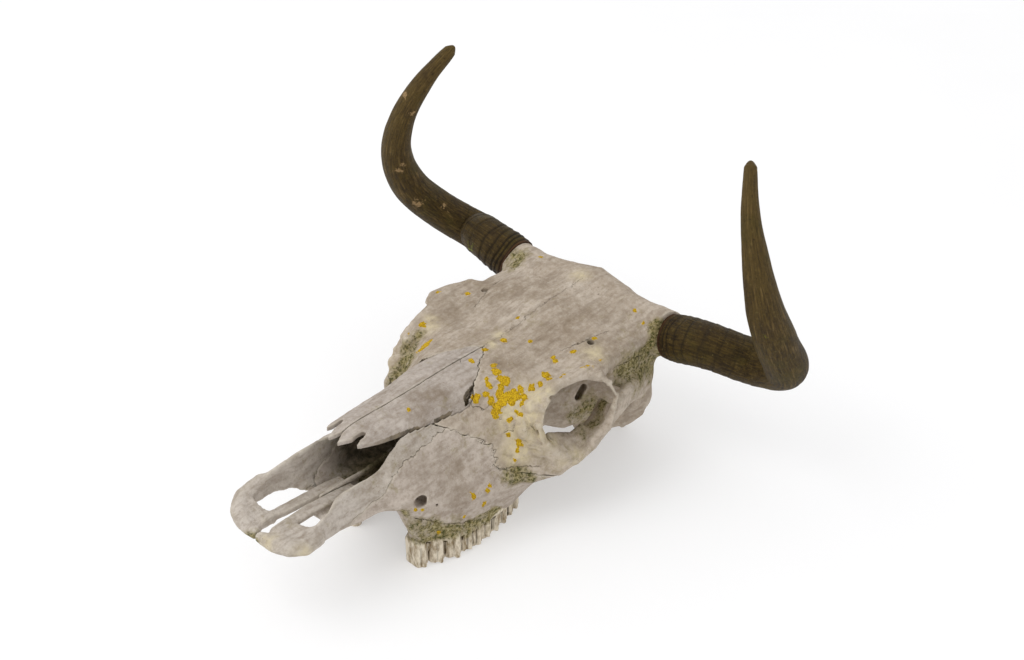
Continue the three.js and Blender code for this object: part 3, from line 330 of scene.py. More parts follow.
incisive_rod = mirrored(ribbon([[10, -226, 101, 4, 2], [8.5, -206, 100.5, 3.4, 3],
    [7.5, -185, 99.5, 3.2, 4], [7.5, -150, 96, 3, 4.5], [7, -112, 91, 2.5, 4.5]], [1, 0, 0]))
incisive_notch = ribbon([[-1, -262, 100, 1.2, 20], [-1, -238, 100, 1.2, 20], [-1.5, -228, 100, 4, 20],
    [-1.5, -214, 100, 4.5, 20], [-1, -204, 100, 1.5, 20], [0, -106, 92, 1.2, 20]])
far_fissure = ribbon([[-21, -178, 88, 7, 12], [-18, -161, 90, 4, 12]])
near_bridge = ribbon([[18, -181, 94, 2.6, 9], [19, -168, 92, 3, 10]], [1, 0, 0])
vomer_plate = ribbon([[0, -165, 96, 2.2, 3], [0, -120, 90, 2.5, 7], [0, -60, 88, 3, 10], [0, -14, 90, 3, 12]])
tooth_line = rail(TOOTH_ROW)


def tooth_row(x, y, z):
    """The cheek teeth: lobed posts with ridges down their outer walls."""
    if y < -116 or y > 56:
        return None
    nearest = None
    for front, length, lobes in TEETH:
        each = length / lobes
        if y < front - 14 or y > front + length + 14:
            continue
        for lobe in range(lobes):
            middle = front + (lobe + 0.5) * each
            across = float(tooth_line(middle)[0])
            radius = each * (0.455 + 0.04 * np.clip(z / TOOTH_TOP, 0, 1))
            width = TOOTH_HALF_WIDTH - each * 0.3 - 0.5 * np.clip(z - GUM_LINE, 0, 9)
            aside = np.maximum(np.abs(np.abs(x) - across) - width, 0)
            ridge = 0.9 * np.cos((y - middle) / each * 4 * math.pi) * np.clip((np.abs(x) - across) / 4, 0, 1)
            post = np.sqrt(aside ** 2 + (y - middle) ** 2) - radius - ridge
            nearest = post if nearest is None else np.minimum(nearest, post)
    if nearest is None:
        return None
    return np.maximum(nearest, z - TOOTH_TOP)


nasal_rails = [rail(points) for points in (RIDGE, NASAL_SHOULDER, NASAL_EDGE)]
NASAL_THICKNESS = 5
NASAL_CLEARANCE = 0.45
NASAL_BACK = 53
NASAL_CORNER_Y = 0
NASAL_CORNER_X = 35


def nasal_line(y):
    """The arch of one nasal bone in a cross-section: through ridge, shoulder and free edge."""
    ridge, shoulder, edge = (curve(y) for curve in nasal_rails)
    control = 2 * shoulder - (ridge + edge) / 2
    return [(1 - t) ** 2 * ridge + 2 * t * (1 - t) * control + t * t * edge for t in np.linspace(0, 1, 7)]


def nasal_plate(x, y, z, open_above=False):
    line = nasal_line(y)
    if open_above:
        z = np.minimum(z, np.interp(x, [point[0] for point in line], [point[1] for point in line]))
    nearest = None
    for (ax, az), (bx, bz) in zip(line, line[1:]):
        dx, dz = bx - ax, bz - az
        t = np.clip(((x - ax) * dx + (z - az) * dz) / (dx * dx + dz * dz), 0, 1)
        away = np.hypot(x - ax - t * dx, z - az - t * dz)
        nearest = away if nearest is None else np.minimum(nearest, away)
    return nearest


def nasal_suture(across, y):
    """The suture behind the nasal bones slants back to the midline and wanders a little."""
    wiggle = 1.6 * np.sin(0.42 * across + 1) + 1.0 * np.sin(1.1 * across) + 0.6 * np.sin(2.6 * across)
    return (y - NASAL_BACK + wiggle + across * (NASAL_BACK - NASAL_CORNER_Y) / NASAL_CORNER_X) * 0.6


def nasal(side):
    def field(x, y, z):
        across = x * side
        plate = nasal_plate(np.maximum(across, 0), y, z + NASAL_THICKNESS / 2) - NASAL_THICKNESS / 2
        medial_tip = -147 - y + np.abs(across - 6) * 2.2
        lateral_tip = -136 - y + np.abs(across - 20) * 2.6
        ends = np.maximum(np.minimum(medial_tip, lateral_tip) * 0.4, nasal_suture(across, y))
        notch = (1 - np.hypot((across - 14.5) / 3, (y + 129) / 9)) * 3
        middle = 0.35 + 0.25 * math.sin(0.13 * y) ** 2 - across
        bone = np.maximum.reduce([plate, ends, middle, notch])
        gap = nasal_gap(x, y, z) if side > 0 else None
        return bone if gap is None else np.maximum(bone, -gap)
    return field


def nasal_room(x, y, z):
    if y < -150 or y > 62:
        return None
    across = np.abs(x)
    plate = nasal_plate(across, y, z + NASAL_THICKNESS / 2, True) - NASAL_THICKNESS / 2 - NASAL_CLEARANCE
    return np.maximum(plate, nasal_suture(across, y - 2 * NASAL_CLEARANCE))


# ------------------------------------------------------------------ sutures between the pieces
corners = np.array([[42, -43, 131], [68, -5, 102], [70, 40, 30]], float)
plane = np.cross(corners[1] - corners[0], corners[2] - corners[0])
plane = plane / np.linalg.norm(plane) * np.sign(plane[1])
plane_offset = -plane @ corners[0]
# How far forward the suture runs from its plane at each height
SUTURE_HEIGHT = [50, 62, 72, 81.6, 88.5, 96, 100.7, 112, 131]
SUTURE_FORWARD = [0, 12, 20, 22, 13.5, 6.4, 0.7, -2.5, 0]


def behind_maxilla(x, y, z):
    """The suture leaves its plane in steps and interlocks in small teeth."""
    teeth = 1.4 * np.sin(0.9 * z + 1.3 * math.sin(0.4 * y)) + 0.7 * np.sin(2.3 * z + 1.1 * y)
    y = y + np.interp(z, SUTURE_HEIGHT, SUTURE_FORWARD) + teeth
    return plane[0] * np.abs(x) + plane[1] * y + plane[2] * z + plane_offset


RIGHT_LIFT = 27


def lifted(x, y, z):
    """The outer edge of the right nasal process stands higher than the left one."""
    rise = RIGHT_LIFT * clamp((-105 - y) / 35, 0, 1) * (1 - 0.7 * clamp((-195 - y) / 45, 0, 1))
    return z - rise * np.clip((-x - 14) / 24, 0, 1) if rise else z


suture_rise = rail(INCISIVE_SUTURE)


def above_suture(x, y, z):
    wiggle = sum(size * math.sin(rate * y + start) for size, rate, start in (
        (0.9, 0.31, 0), (0.5, 0.83, 1), (0.35, 2.1, 0)))
    return (lifted(x, y, z) - suture_rise(y)[1] - wiggle) * 0.7


def slanted(x, y):
    """The nasal opening starts further forward on the right."""
    return y - 0.25 * x * clamp((-170 - y) / 30, 0, 1)


def cavity_field(x, y, z):
    """The nasal cavity. Its sections lean forward on the right, so it is looked up in steps of x."""
    if y > 36:
        return None
    if y > -170:
        return cavity(x, y, z)
    result = np.full(x.shape, 99, np.float32)
    side = np.clip(np.round(x / 4), -14, 14)
    for step in np.unique(side):
        chosen = side == step
        result[chosen] = cavity(x[chosen], slanted(step * 4, y), z[chosen])
    return result


def horn_end(line):
    """Each neck ends in a flat ring with a core that stands in the sheath's socket."""
    start = np.array(line[0], float)
    along = np.subtract(line[1], line[0])
    along = along / np.linalg.norm(along)
    root, tip = start - along * 20, start + along * (CORE_LENGTH - CORE_RADIUS * 0.5)
    core = ribbon([[*root, CORE_RADIUS], [*tip, CORE_RADIUS * 0.9]])

    def cut(bone, x, y, z):
        if abs(y - start[1]) > 70:
            return bone
        dx, dy, dz = x - start[0], y - start[1], z - start[2]
        ahead = dx * along[0] + dy * along[1] + dz * along[2]
        aside = np.sqrt(np.maximum(dx * dx + dy * dy + dz * dz - ahead ** 2, 0))
        past = ahead + KERF
        ended = np.maximum(bone, -np.maximum(-past, aside - 44))
        peg = core(x, y, z)
        if peg is not None:
            ended = np.minimum(ended, np.maximum(peg, ahead - CORE_LENGTH))
        return np.where((past < -30) | (aside > 60), bone, ended)
    return cut


horn_ends = [horn_end(HORN_LEFT), horn_end(HORN_RIGHT)]

# The skull is built up in this order: what is done, with which shape, and how softly they meet.
SCULPT = [
    (join, mastoid, 14), (join, ear_plate, 10), (join, horn_neck, 22), (carve, socket, 8),
    (join, brow_plate, 6), (join, cheek_plate, 8), (join, malar, 7), (join, temporal_wall, 10),
    (join, right_brow, 8), (join, right_cheek, 8), (carve, orbit_bowl, 3), (join, floor_front, 4),
    (join, floor_back, 4), (join, orbit_rim, 6), (join, ear_canal, 8), (join, condyle, 6),
    (join, paracondylar, 10), (join, bulla, 5), (join, pterygoid, 6), (carve, choana, 6),
    (carve, foramen_magnum, 5), (join, tooth_row, 2), (carve, infraorbital, 3), (carve, supraorbital, 2),
    (carve, lacrimal_hole, 1), (join, near_edge, 6), (join, far_edge, 6), (join, incisive_plate, 6),
    (carve, cavity_field, 3), (carve, far_fissure, 3), (join, near_bridge, 3), (join, incisive_rod, 4),
    (carve, incisive_notch, 2), *((carve, hole, 1) for hole in small_holes), (carve, nasal_gap, 1),
    (carve, oval_foramen, 1),
]


def skull(x, y, height):
    z = lifted(x, y, height)
    bone = soft_min(face(x, y, z), braincase(x, y, z), 10 - 7 * np.clip((z - 135) / 12, 0, 1))
    for how, tool, reach in SCULPT:
        bone = how(bone, tool(x, y, z), reach)
    room = nasal_room(x, y, height)
    if room is not None:
        bone = np.maximum(bone, -room)
    for end in horn_ends:
        bone = end(bone, x, y, height)
    return np.maximum(bone, -height)


def cranium(x, y, z):
    return np.maximum(skull(x, y, z), KERF / 2 - behind_maxilla(x, y, z))


def upper_jaw(side, above):
    """One side of the upper jaw: the maxilla below the incisive suture, or the bone above it."""
    return lambda x, y, z: np.maximum.reduce([
        skull(x, y, z), KERF / 2 + behind_maxilla(x, y, z), KERF / 2 - x * side,
        KERF / 2 - above * above_suture(x, y, z)])


def vomer(x, y, z):
    plate = vomer_plate(x, y, z)
    if plate is None:
        plate = np.full(x.shape, 99, np.float32)
    return np.maximum(plate, 0.6 - skull(x, y, z))


# ------------------------------------------------------------------ from field to mesh
def sample(field, low, count, step, wanted=None):
    """Field values on a grid [y, x, z]; where `wanted` is false the coarse sign is kept."""
    values = np.full((count[1], count[0], count[2]), 99, np.float32)
    x, z = np.meshgrid(*(low[axis] + step * np.arange(count[axis]) for axis in (0, 2)), indexing="ij")
    x, z = x.astype(np.float32), z.astype(np.float32)
    for j in range(count[1]):
        y = low[1] + step * j
        chosen = slice(None) if wanted is None else wanted[j]
        if wanted is not None and not chosen.any():
            continue
        values[j][chosen] = field(x[chosen], y, z[chosen])
    return values


COARSE = 4  # steps of the fine grid to one of the coarse grid
BAND = 1.7  # how near the surface the fine grid is filled in, in coarse steps


def shifted(array, corner, shape):
    """The part of a grid that lies at one corner of each cell."""
    return array[tuple(slice(start, size + start) for start, size in zip(corner, shape))]


def refined(cells):
    return cells.repeat(COARSE, 0).repeat(COARSE, 1).repeat(COARSE, 2)


def surface(field, low, high, step):
    """Follows the zero surface of a field with one point per mixed cell and a quad per edge."""
    count = [COARSE * math.ceil((high[axis] - low[axis]) / step / COARSE) + 1 for axis in range(3)]
    few = [(number - 1) // COARSE + 1 for number in count]
    coarse = sample(field, low, few, step * COARSE)
    near = np.abs(coarse) < step * COARSE * BAND
    cells = np.zeros(tuple(size - 1 for size in near.shape), bool)
    for corner in CORNERS:
        cells |= shifted(near, corner, cells.shape)
    block = refined(cells)
    wanted = np.zeros((count[1], count[0], count[2]), bool)
    for corner in CORNERS:
        shifted(wanted, corner, block.shape)[...] |= block
    values = sample(field, low, count, step, wanted)
    inside = refined(coarse[:-1, :-1, :-1] < 0)
    body = values[:-1, :-1, :-1]
    body[~wanted[:-1, :-1, :-1] & inside] = -99
    solid = values < 0
    corners_in = np.zeros(tuple(size - 1 for size in solid.shape), np.uint8)
    for corner in CORNERS:
        corners_in += shifted(solid, corner, corners_in.shape)
    mixed = (corners_in > 0) & (corners_in < 8)
    cell = np.argwhere(mixed)
    number = np.full(mixed.shape, -1, np.int64)
    number[mixed] = np.arange(len(cell))
    total = np.zeros((len(cell), 3))
    crossings = np.zeros(len(cell))
    for axis in range(3):
        for first, second in ((0, 0), (0, 1), (1, 0), (1, 1)):
            start = np.zeros(3, int)
            start[(axis + 1) % 3], start[(axis + 2) % 3] = first, second
            end = start + np.eye(3, dtype=int)[axis]
            va = values[tuple((cell + start).T)]
            vb = values[tuple((cell + end).T)]
            cut = (va < 0) != (vb < 0)
            t = np.where(cut, va / np.where(cut, va - vb, 1), 0)
            total[cut] += (cell + start + t[:, None] * (end - start))[cut]
            crossings[cut] += 1
    points = total / crossings[:, None]
    quads = []
    for axis in range(3):
        after = [slice(None)] * 3
        before = [slice(None)] * 3
        after[axis], before[axis] = slice(1, None), slice(None, -1)
        edge = np.argwhere(solid[tuple(before)] != solid[tuple(after)])
        u, v = (axis + 1) % 3, (axis + 2) % 3
        edge = edge[(edge[:, u] > 0) & (edge[:, v] > 0)]
        edge = edge[(edge[:, u] < mixed.shape[u]) & (edge[:, v] < mixed.shape[v])]
        step_u, step_v = np.eye(3, dtype=int)[u], np.eye(3, dtype=int)[v]
        ring = np.stack([number[tuple((edge - a * step_u - b * step_v).T)]
                         for a, b in ((0, 0), (1, 0), (1, 1), (0, 1))], axis=1)
        starts_solid = solid[tuple(edge.T)]
        ring[~starts_solid] = ring[~starts_solid][:, ::-1]
        quads.append(ring)
    quads = np.concatenate(quads)[:, ::-1]
    points = points[:, [1, 0, 2]] * step + np.array(low)
    return points, quads


def corner_normals(points, quads):
    """Area-weighted normals at the points."""
    across = np.cross(points[quads[:, 2]] - points[quads[:, 0]], points[quads[:, 3]] - points[quads[:, 1]])
    total = np.zeros_like(points)
    for corner in range(4):
        for axis in range(3):
            total[:, axis] += np.bincount(quads[:, corner], across[:, axis], len(points))
    return total / np.maximum(np.linalg.norm(total, axis=1), 1e-12)[:, None]


def relax(points, quads, rounds, share=0.5):
    """Moves each point towards the mean of its neighbours."""
    a = quads.ravel()
    b = np.roll(quads, 1, axis=1).ravel()
    for _ in range(rounds):
        ends = np.concatenate([a, b])
        others = np.concatenate([b, a])
        degree = np.bincount(ends, minlength=len(points))
        mean = np.stack([np.bincount(ends, points[others, axis], len(points)) for axis in range(3)], axis=1)
        points = points + share * (mean / np.maximum(degree, 1)[:, None] - points)
    return points


# ------------------------------------------------------------------ weathering, placed by name
# Sutures and cracks: width, depth, wiggle, then points [x, y, z]. Those on the left are mirrored.
LINES = {
    "frontal": (0.25, 0.4, 2.0, [[0, 54, 156], [0, 79, 156], [1, 97, 158], [0, 130, 163], [0, 165, 165],
                                 [0, 198, 167]]),
    "frontal_crack": (0.55, 0.8, 0.8, [[0, 53, 156], [0, 68, 156], [0, 80, 156]]),
    "nasal_lacrimal": (0.4, 0.5, 1.6, [[37.8, -9, 139], [43.6, -6, 135.5], [50.4, 0.4, 133.6], [51.5, 6, 136],
                                       [58.3, 5.4, 128.5], [63.6, 7.4, 125]]),
    "zigzag": (0.4, 0.5, 2.2, [[71.4, 6.6, 112.8], [77.1, 14.2, 118], [82, 16.5, 114.4], [86.7, 23.3, 118],
                               [90.8, 28.7, 110.4]]),
    "cheek": (0.4, 0.5, 1.0, [[74.3, -10, 81.6], [77.6, -4.5, 79], [82.3, 6.4, 78], [96.6, 24.2, 75.7]]),
    "cheek_below": (0.45, 0.6, 1.0, [[83, -0.8, 59], [86.7, 8.8, 61.7], [93, 18.3, 65.5]]),
    "ledge": (0.7, 1.2, 0.8, [[58, -103, 66], [60, -93, 60], [64.5, -75, 47], [70, -58, 40], [73, -44, 36]]),
    "groove": (0.38, 0.7, 1.6, [[58.7, 101, 153.5], [62.4, 115, 155], [66.8, 129, 156], [70, 144, 156],
                                [71, 153, 156]]),
    "rim": (0.3, 0.3, 0.4, [[94, 35, 119], [98, 40, 101]]),
    "branch": (0.3, 0.3, 0.6, [[1, 18, 158], [5.4, 14.6, 158]]),
    "temple": (0.4, 0.5, 1.5, [[92, 132, 134], [94, 158, 132], [90, 186, 124]]),
    "nape": (0.4, 0.5, 1.8, [[20, 236, 150], [50, 232, 130], [66, 226, 100]]),
    "palate": (0.4, 0.5, 1.2, [[0.6, -108, 66], [0.6, -60, 60], [0.6, 10, 56]]),
    "palate_across": (0.4, 0.5, 2.0, [[2, -30, 60], [16, -22, 50], [34, -14, 36]]),
}
# Crusts of yellow lichen: [x, y, z, radius]
LICHEN = [[36, 31, 153, 5], [43, 28, 151, 3.5], [28, 36, 154, 3], [41, 15, 149, 3.5], [49, 22, 145, 3.5],
    [48, 30, 149, 4.5], [40, -2, 143, 4.5], [36, 17, 152, 2.5], [44, 8, 144, 3], [50, 8, 139, 3.5],
    [53, 18, 141, 4], [58, 23, 140, 4.5], [61, 30, 141, 4.5], [62, 36, 143, 4], [58, 16, 137, 4.5],
    [63, 22, 136, 4], [65, 28, 138, 4], [57, 9, 134, 4], [58, 6, 129, 4], [70, 34, 138, 3.5],
    [71, 28, 134, 2], [68, 45, 143, 4], [73, 53, 145, 3], [70, 64, 148, 4], [74, 63, 148, 3],
    [63, 85, 151, 2.5], [58, 88, 152, 2], [86, 68, 150, 3], [85, 73, 150, 2], [92, 92, 150, 3],
    [93, 98, 150, 2], [98, 100, 149, 2.5], [94, 115, 149, 2], [71, 12, 124, 2.5], [84, 24, 124, 2],
    [88, 32, 127, 3], [76, 22, 127, 2.5], [71, 20, 129, 2], [81, 13, 101, 3.5], [73, 7, 111, 2],
    [87, 21, 108, 1.8], [6, 74, 155, 3], [-6, 108, 160, 1.8], [6, 48, 156, 3], [10, 24, 158, 3.2],
    [26, 90, 155, 2], [-56, 30, 144, 5.5], [-58, 22, 140, 3.5], [-80, 48, 147, 3], [-105, 97, 150, 3],
    [-80, 113, 153, 2.5], [-84, 34, 138, 2.5], [18, -69, 154, 2], [86, 191, 152, 2.2], [72, 194, 161, 2],
    [-61, 204, 165, 2.5], [59, -102, 78, 2.5], [61, -96, 74, 2], [73, -42, 66, 3], [77, -27, 66, 2.2],
    [77, -23, 69, 1.6], [76, -30, 51, 2.2], [71, -52, 46, 1.5], [62, -78, 38, 1.5], [81, 8, 84, 1.5],
    [81, 11, 94, 1.5], [70, 135, 156, 2], [68, 106, 153, 2.5]]
# Growth and stains: [x, y, z, radius]
MOSS = [[57, -103, 56, 10], [59, -86, 47, 13], [67, -68, 37, 14], [72, -46, 29, 12], [71, -24, 27, 9],
    [73, -16, 31, 7], [52, -112, 74, 7], [82, 0, 70, 12], [87, 11, 67, 10], [92, 18, 60, 6],
    [-66, 10, 128, 14], [-62, -8, 118, 14], [-75, 24, 132, 12], [-74, 42, 142, 7], [-45, -40, 118, 12],
    [-84, 190, 154, 12], [-88, 204, 150, 13], [-92, 200, 130, 14], [97, 197, 150, 9], [102, 205, 150, 10],
    [100, 198, 134, 12], [96, 190, 122, 14], [94, 150, 122, 20], [92, 178, 112, 22], [86, 206, 90, 18],
    [98, 84, 80, 12], [104, 98, 92, 10], [100, 112, 104, 8], [60, 140, 60, 24], [-60, 140, 60, 24],
    [-92, 165, 118, 24], [-96, 60, 110, 18], [0, 236, 90, 26], [40, 230, 60, 20], [-40, 230, 60, 20],
    [4, -244, 99, 7], [-8, -244, 96, 7], [-36, -240, 98, 7], [12, -215, 100, 6], [-60, -60, 34, 14],
    [-66, -30, 30, 12], [-52, -100, 50, 12], [0, -100, 84, 30], [0, -60, 80, 30]]
STAINS = [[-80, 94, 151, 18], [-61, 112, 155, 24], [-53, 140, 159, 20], [38, 121, 158, 20],
    [37, 92, 154, 18], [49, 56, 152, 16], [48, 169, 160, 20], [26, 150, 162, 18], [-24, 154, 163, 20],
    [31, 43, 154, 10], [24, -33, 154, 12], [70, -56, 68, 14], [58, -50, 94, 12], [17, -52, 155, 12],
    [-63, 70, 150, 12], [29, -65, 146, 10], [93, 178, 146, 10], [0, 225, 120, 30], [60, 225, 120, 20],
    [-60, 225, 120, 20], [30, -20, 40, 30], [-30, -20, 40, 30], [70, 200, 40, 18], [-70, 200, 40, 18]]
CREAM = [[85, 18, 104, 18], [80, 9, 90, 12], [91, 32, 118, 12], [71, 12, 124, 12], [75, 35, 137, 16],
    [-2, 78, 155, 7], [73, 24, 130, 14], [87, 44, 144, 9], [-70, 50, 147, 8], [-79, 59, 150, 6],
    [3, 60, 156, 7], [-5, 201, 167, 9], [104, 46, 80, 10], [97, 37, 100, 10], [84, 119, 152, 12],
    [111, 60, 76, 9], [-85, 18, 104, 18], [-80, 9, 90, 12], [50, -230, 98, 10], [-46, -228, 98, 10],
    [16, -242, 100, 9], [112, 100, 120, 8]]
# Dark spots of dirt with painted shade in the orbits: [x, y, z, radius]
ORBIT_DIRT_AND_SHADE = [[66, 76, 106, 26], [74, 96, 96, 20], [80, 60, 96, 18], [-66, 76, 106, 26], [-74, 96, 96, 20],
    [34, -6, 126, 9], [71, 129, 152, 6], [89, 54, 138, 5]]


def blobs(points, table):
    """How far each point lies inside soft spots, from 0 to 1."""
    total = np.zeros(len(points))
    for x, y, z, radius in table:
        near = np.abs(points[:, 1] - y) < radius * 2.2
        away = points[near] - (x, y, z)
        total[near] += np.exp(-(away ** 2).sum(axis=1) / radius ** 2)
    return np.clip(total, 0, 1)


def crusts(points, table):
    """Distance inside the edge of the nearest lichen crust; positive on it."""
    rough = noise(points, 3.4, 5) * 0.5 + noise(points, 1.8, 6) * 0.3
    depth = np.full(len(points), -3.0)
    for x, y, z, radius in table:
        near = np.flatnonzero(np.abs(points[:, 1] - y) < radius + 4)
        away = np.sqrt(((points[near] - (x, y, z)) ** 2 * (1, 1, 0.6)).sum(axis=1))
        depth[near] = np.maximum(depth[near], radius * (0.86 + rough[near]) - away)
    return depth


def traced(points, normals):
    """Signed distance to the nearest suture, how strongly it shows, and its depth."""
    across = np.full(len(points), 3.0)
    least = np.full(len(points), 3.0)
    shown = np.zeros(len(points))
    depth = np.zeros(len(points))
    wiggle = 0.8 * noise(points, 2.6, 11) + 0.8 * noise(points, 6.0, 12) + 0.7 * noise(points, 1.5, 13)
    for width, deep, wander, line in LINES.values():
        for mirror in (1, -1):
            track = np.array(line, float) * (mirror, 1, 1)
            for a, b in zip(track, track[1:]):
                low, high = np.minimum(a, b) - 6, np.maximum(a, b) + 6
                near = np.flatnonzero(((points > low) & (points < high)).all(axis=1))
                if not len(near):
                    continue
                p, n, along = points[near], normals[near], b - a
                t = np.clip((p - a) @ along / (along @ along), 0, 1)
                away = p - a - t[:, None] * along
                outward = (away * n).sum(axis=1)
                aside = away - outward[:, None] * n
                size = np.sqrt((aside ** 2).sum(axis=1))
                side = np.sign((np.cross(along, n) * away).sum(axis=1))
                distance = side * size + wiggle[near] * wander * 0.85
                better = (np.abs(outward) < 5) & (size < least[near])
                chosen = near[better]
                least[chosen] = size[better]
                across[chosen] = distance[better]
                shown[chosen] = (width / 0.5) * np.clip(3 - size[better], 0, 1)
                depth[chosen] = deep * np.exp(-(distance[better] / (width * 1.8)) ** 2)
    return across, shown, depth


# Where the tooth row lies, and the inside of the nose, painted dark with dirt and shade
ROW_RANGE = np.arange(-120, 60)
TOOTH_LINES = np.array([float(tooth_line(y)[0]) for y in ROW_RANGE])
ROW_FRONT, ROW_BACK = -112, 50
NOSE_FRONT, NOSE_BACK = -150, 30
NOSE_FLOOR, NOSE_MIDDLE, NOSE_ROOF = 82, 118, 156
NOSE_HALF_WIDTH = 36


def dress(points, quads):
    """Weathers a bone and marks where shade is painted: moves its points a little and returns the masks of
    its surface.
    """
    normals = corner_normals(points, quads)
    # How far each point sinks into a hollow: the material paints shade with dirt there, and pales the ridges
    # as wear.
    hollow_shade_and_ridge_wear = ((relax(points, quads, 6, 0.6) - points) * normals).sum(axis=1)
    crust = crusts(points, LICHEN)
    across, shown, depth = traced(points, normals)
    row = np.interp(points[:, 1], ROW_RANGE, TOOTH_LINES)
    beside = np.abs(np.abs(points[:, 0]) - row)
    tooth = np.clip((32 - points[:, 2] + noise(points, 5, 21) * 3) / 3, 0, 1) * (beside < 15)
    tooth *= (points[:, 1] > ROW_FRONT) & (points[:, 1] < ROW_BACK)
    # Painted shade with dirt: the inward-facing walls inside the nose and the orbit spots get the dark inside
    # mask.
    inside = np.zeros(len(points))
    deep = (np.abs(points[:, 0]) < NOSE_HALF_WIDTH) & (points[:, 1] > NOSE_FRONT) & (points[:, 1] < NOSE_BACK)
    height = points[:, 2] - NOSE_MIDDLE
    deep &= normals[:, 2] * height < 0.2 * np.abs(height)
    deep &= (points[:, 2] > NOSE_FLOOR) & (points[:, 2] < NOSE_ROOF)
    inside[deep] = np.clip((points[deep, 1] + 132) / 34, 0, 1)
    inside = np.maximum(inside, 0.75 * blobs(points, ORBIT_DIRT_AND_SHADE))
    pitted = np.clip(layered(points, 30, 2, 40), 0, 1)
    relief = (layered(points, 16, 3, 50) * 0.55 + layered(points, 4.5, 3, 60) * 0.26
              - np.clip(noise(points, 2.4, 70) - 0.45, 0, 1) * (0.35 + pitted * 1.2))
    relief = relief * (1 - 0.6 * tooth)
    relief += np.clip(crust + 0.4, 0, 1) * 0.35 - depth
    points = points + normals * relief[:, None]
    # The chewing edges are broken and uneven, and only the high spots touch the floor.
    chipped = np.clip(noise(points, 5, 80) + 0.25, 0, 1) * 4.2 * (beside > 4.5) * tooth
    points[:, 2] = np.maximum(points[:, 2], np.where(points[:, 2] < 4.5, chipped * (points[:, 1] < 52), 0))
    moss = blobs(points, MOSS) + 0.3 * np.clip(layered(points, 60, 2, 90), 0, 1)
    moss += 0.8 * np.exp(-((points[:, 2] - 33 - noise(points, 9, 91) * 4) / 5) ** 2) * (beside < 16) * (
        points[:, 1] < 46) * (points[:, 1] > ROW_FRONT)
    masks = {
        "crust": crust,
        "across": across,
        "shown": shown,
        "moss": np.clip(moss, 0, 1),
        "stain": np.clip(blobs(points, STAINS) + 0.5 * np.clip(layered(points, 45, 2, 95), 0, 1), 0, 1),
        "cream": blobs(points, CREAM),
        "tooth": tooth,
        "inside": inside,
        "hollow_shade_and_ridge_wear": np.clip(hollow_shade_and_ridge_wear * 1.4, -1, 1),
    }
    return points, masks


# ------------------------------------------------------------------ materials
class Shader:
    """Short calls for building a material's nodes. Colours and bumps are laid over each other."""

    def __init__(self, name):
        self.material = bpy.data.materials.new(name)
        self.material.use_nodes = True
        self.tree = self.material.node_tree
        self.surface = self.tree.nodes["Principled BSDF"]
        self.place = self.node("ShaderNodeTexCoord").outputs["Object"]
        self.colour = None
        self.normal = None

    def node(self, kind, inputs=None, **settings):
        made = self.tree.nodes.new(kind)
        for key, value in settings.items():
            setattr(made, key, value)
        for key, value in (inputs or {}).items():
            self.put(made.inputs[key], value)
        return made

    def put(self, target, value):
        if isinstance(value, bpy.types.NodeSocket):
            self.tree.links.new(value, target)
        else:
            target.default_value = (*value, 1) if target.type == "RGBA" else value

    def mask(self, name):
        return self.node("ShaderNodeAttribute", attribute_name=name).outputs["Fac"]

    def math(self, kind, a, b=0.0, clamp=False):
        return self.node("ShaderNodeMath", {0: a, 1: b}, operation=kind, use_clamp=clamp).outputs[0]

    def times(self, a, b, clamp=False):
        return self.math("MULTIPLY", a, b, clamp)

    def ragged(self, value, cloud, reach):
        """A mask whose edge is broken up by noise."""
        return self.math("ADD", value, self.times(self.math("SUBTRACT", cloud, 0.5), reach))

    def noise(self, scale, detail=3.0, rough=0.55, place=None):
        return self.node("ShaderNodeTexNoise", {"Vector": place or self.place, "Scale": scale,
                                                "Detail": detail, "Roughness": rough}).outputs["Fac"]

    def stretched(self, x, y, z, place=None):
        return self.node("ShaderNodeMapping", {"Vector": place or self.place, "Scale": (x, y, z)}).outputs[0]

    def range(self, value, low, high, to_low=0.0, to_high=1.0):
        return self.node("ShaderNodeMapRange", {"Value": value, "From Min": low, "From Max": high,
                                                "To Min": to_low, "To Max": to_high}).outputs[0]

    def mix(self, share, a, b):
        return self.node("ShaderNodeMix", {0: share, 6: a, 7: b}, data_type="RGBA").outputs[2]

    def tint(self, share, colour):
        self.colour = self.mix(share, self.colour, colour)

    def emboss(self, height, distance, strength):
        inputs = {"Height": height, "Distance": distance, "Strength": strength}
        if self.normal is not None:
            inputs["Normal"] = self.normal
        self.normal = self.node("ShaderNodeBump", inputs).outputs[0]

    def finished(self, rough, specular):
        settings = {"Base Color": self.colour, "Roughness": rough, "Specular IOR Level": specular}
        if self.normal is not None:
            settings["Normal"] = self.normal
        for name, value in settings.items():
            self.put(self.surface.inputs[name], value)
        return self.material


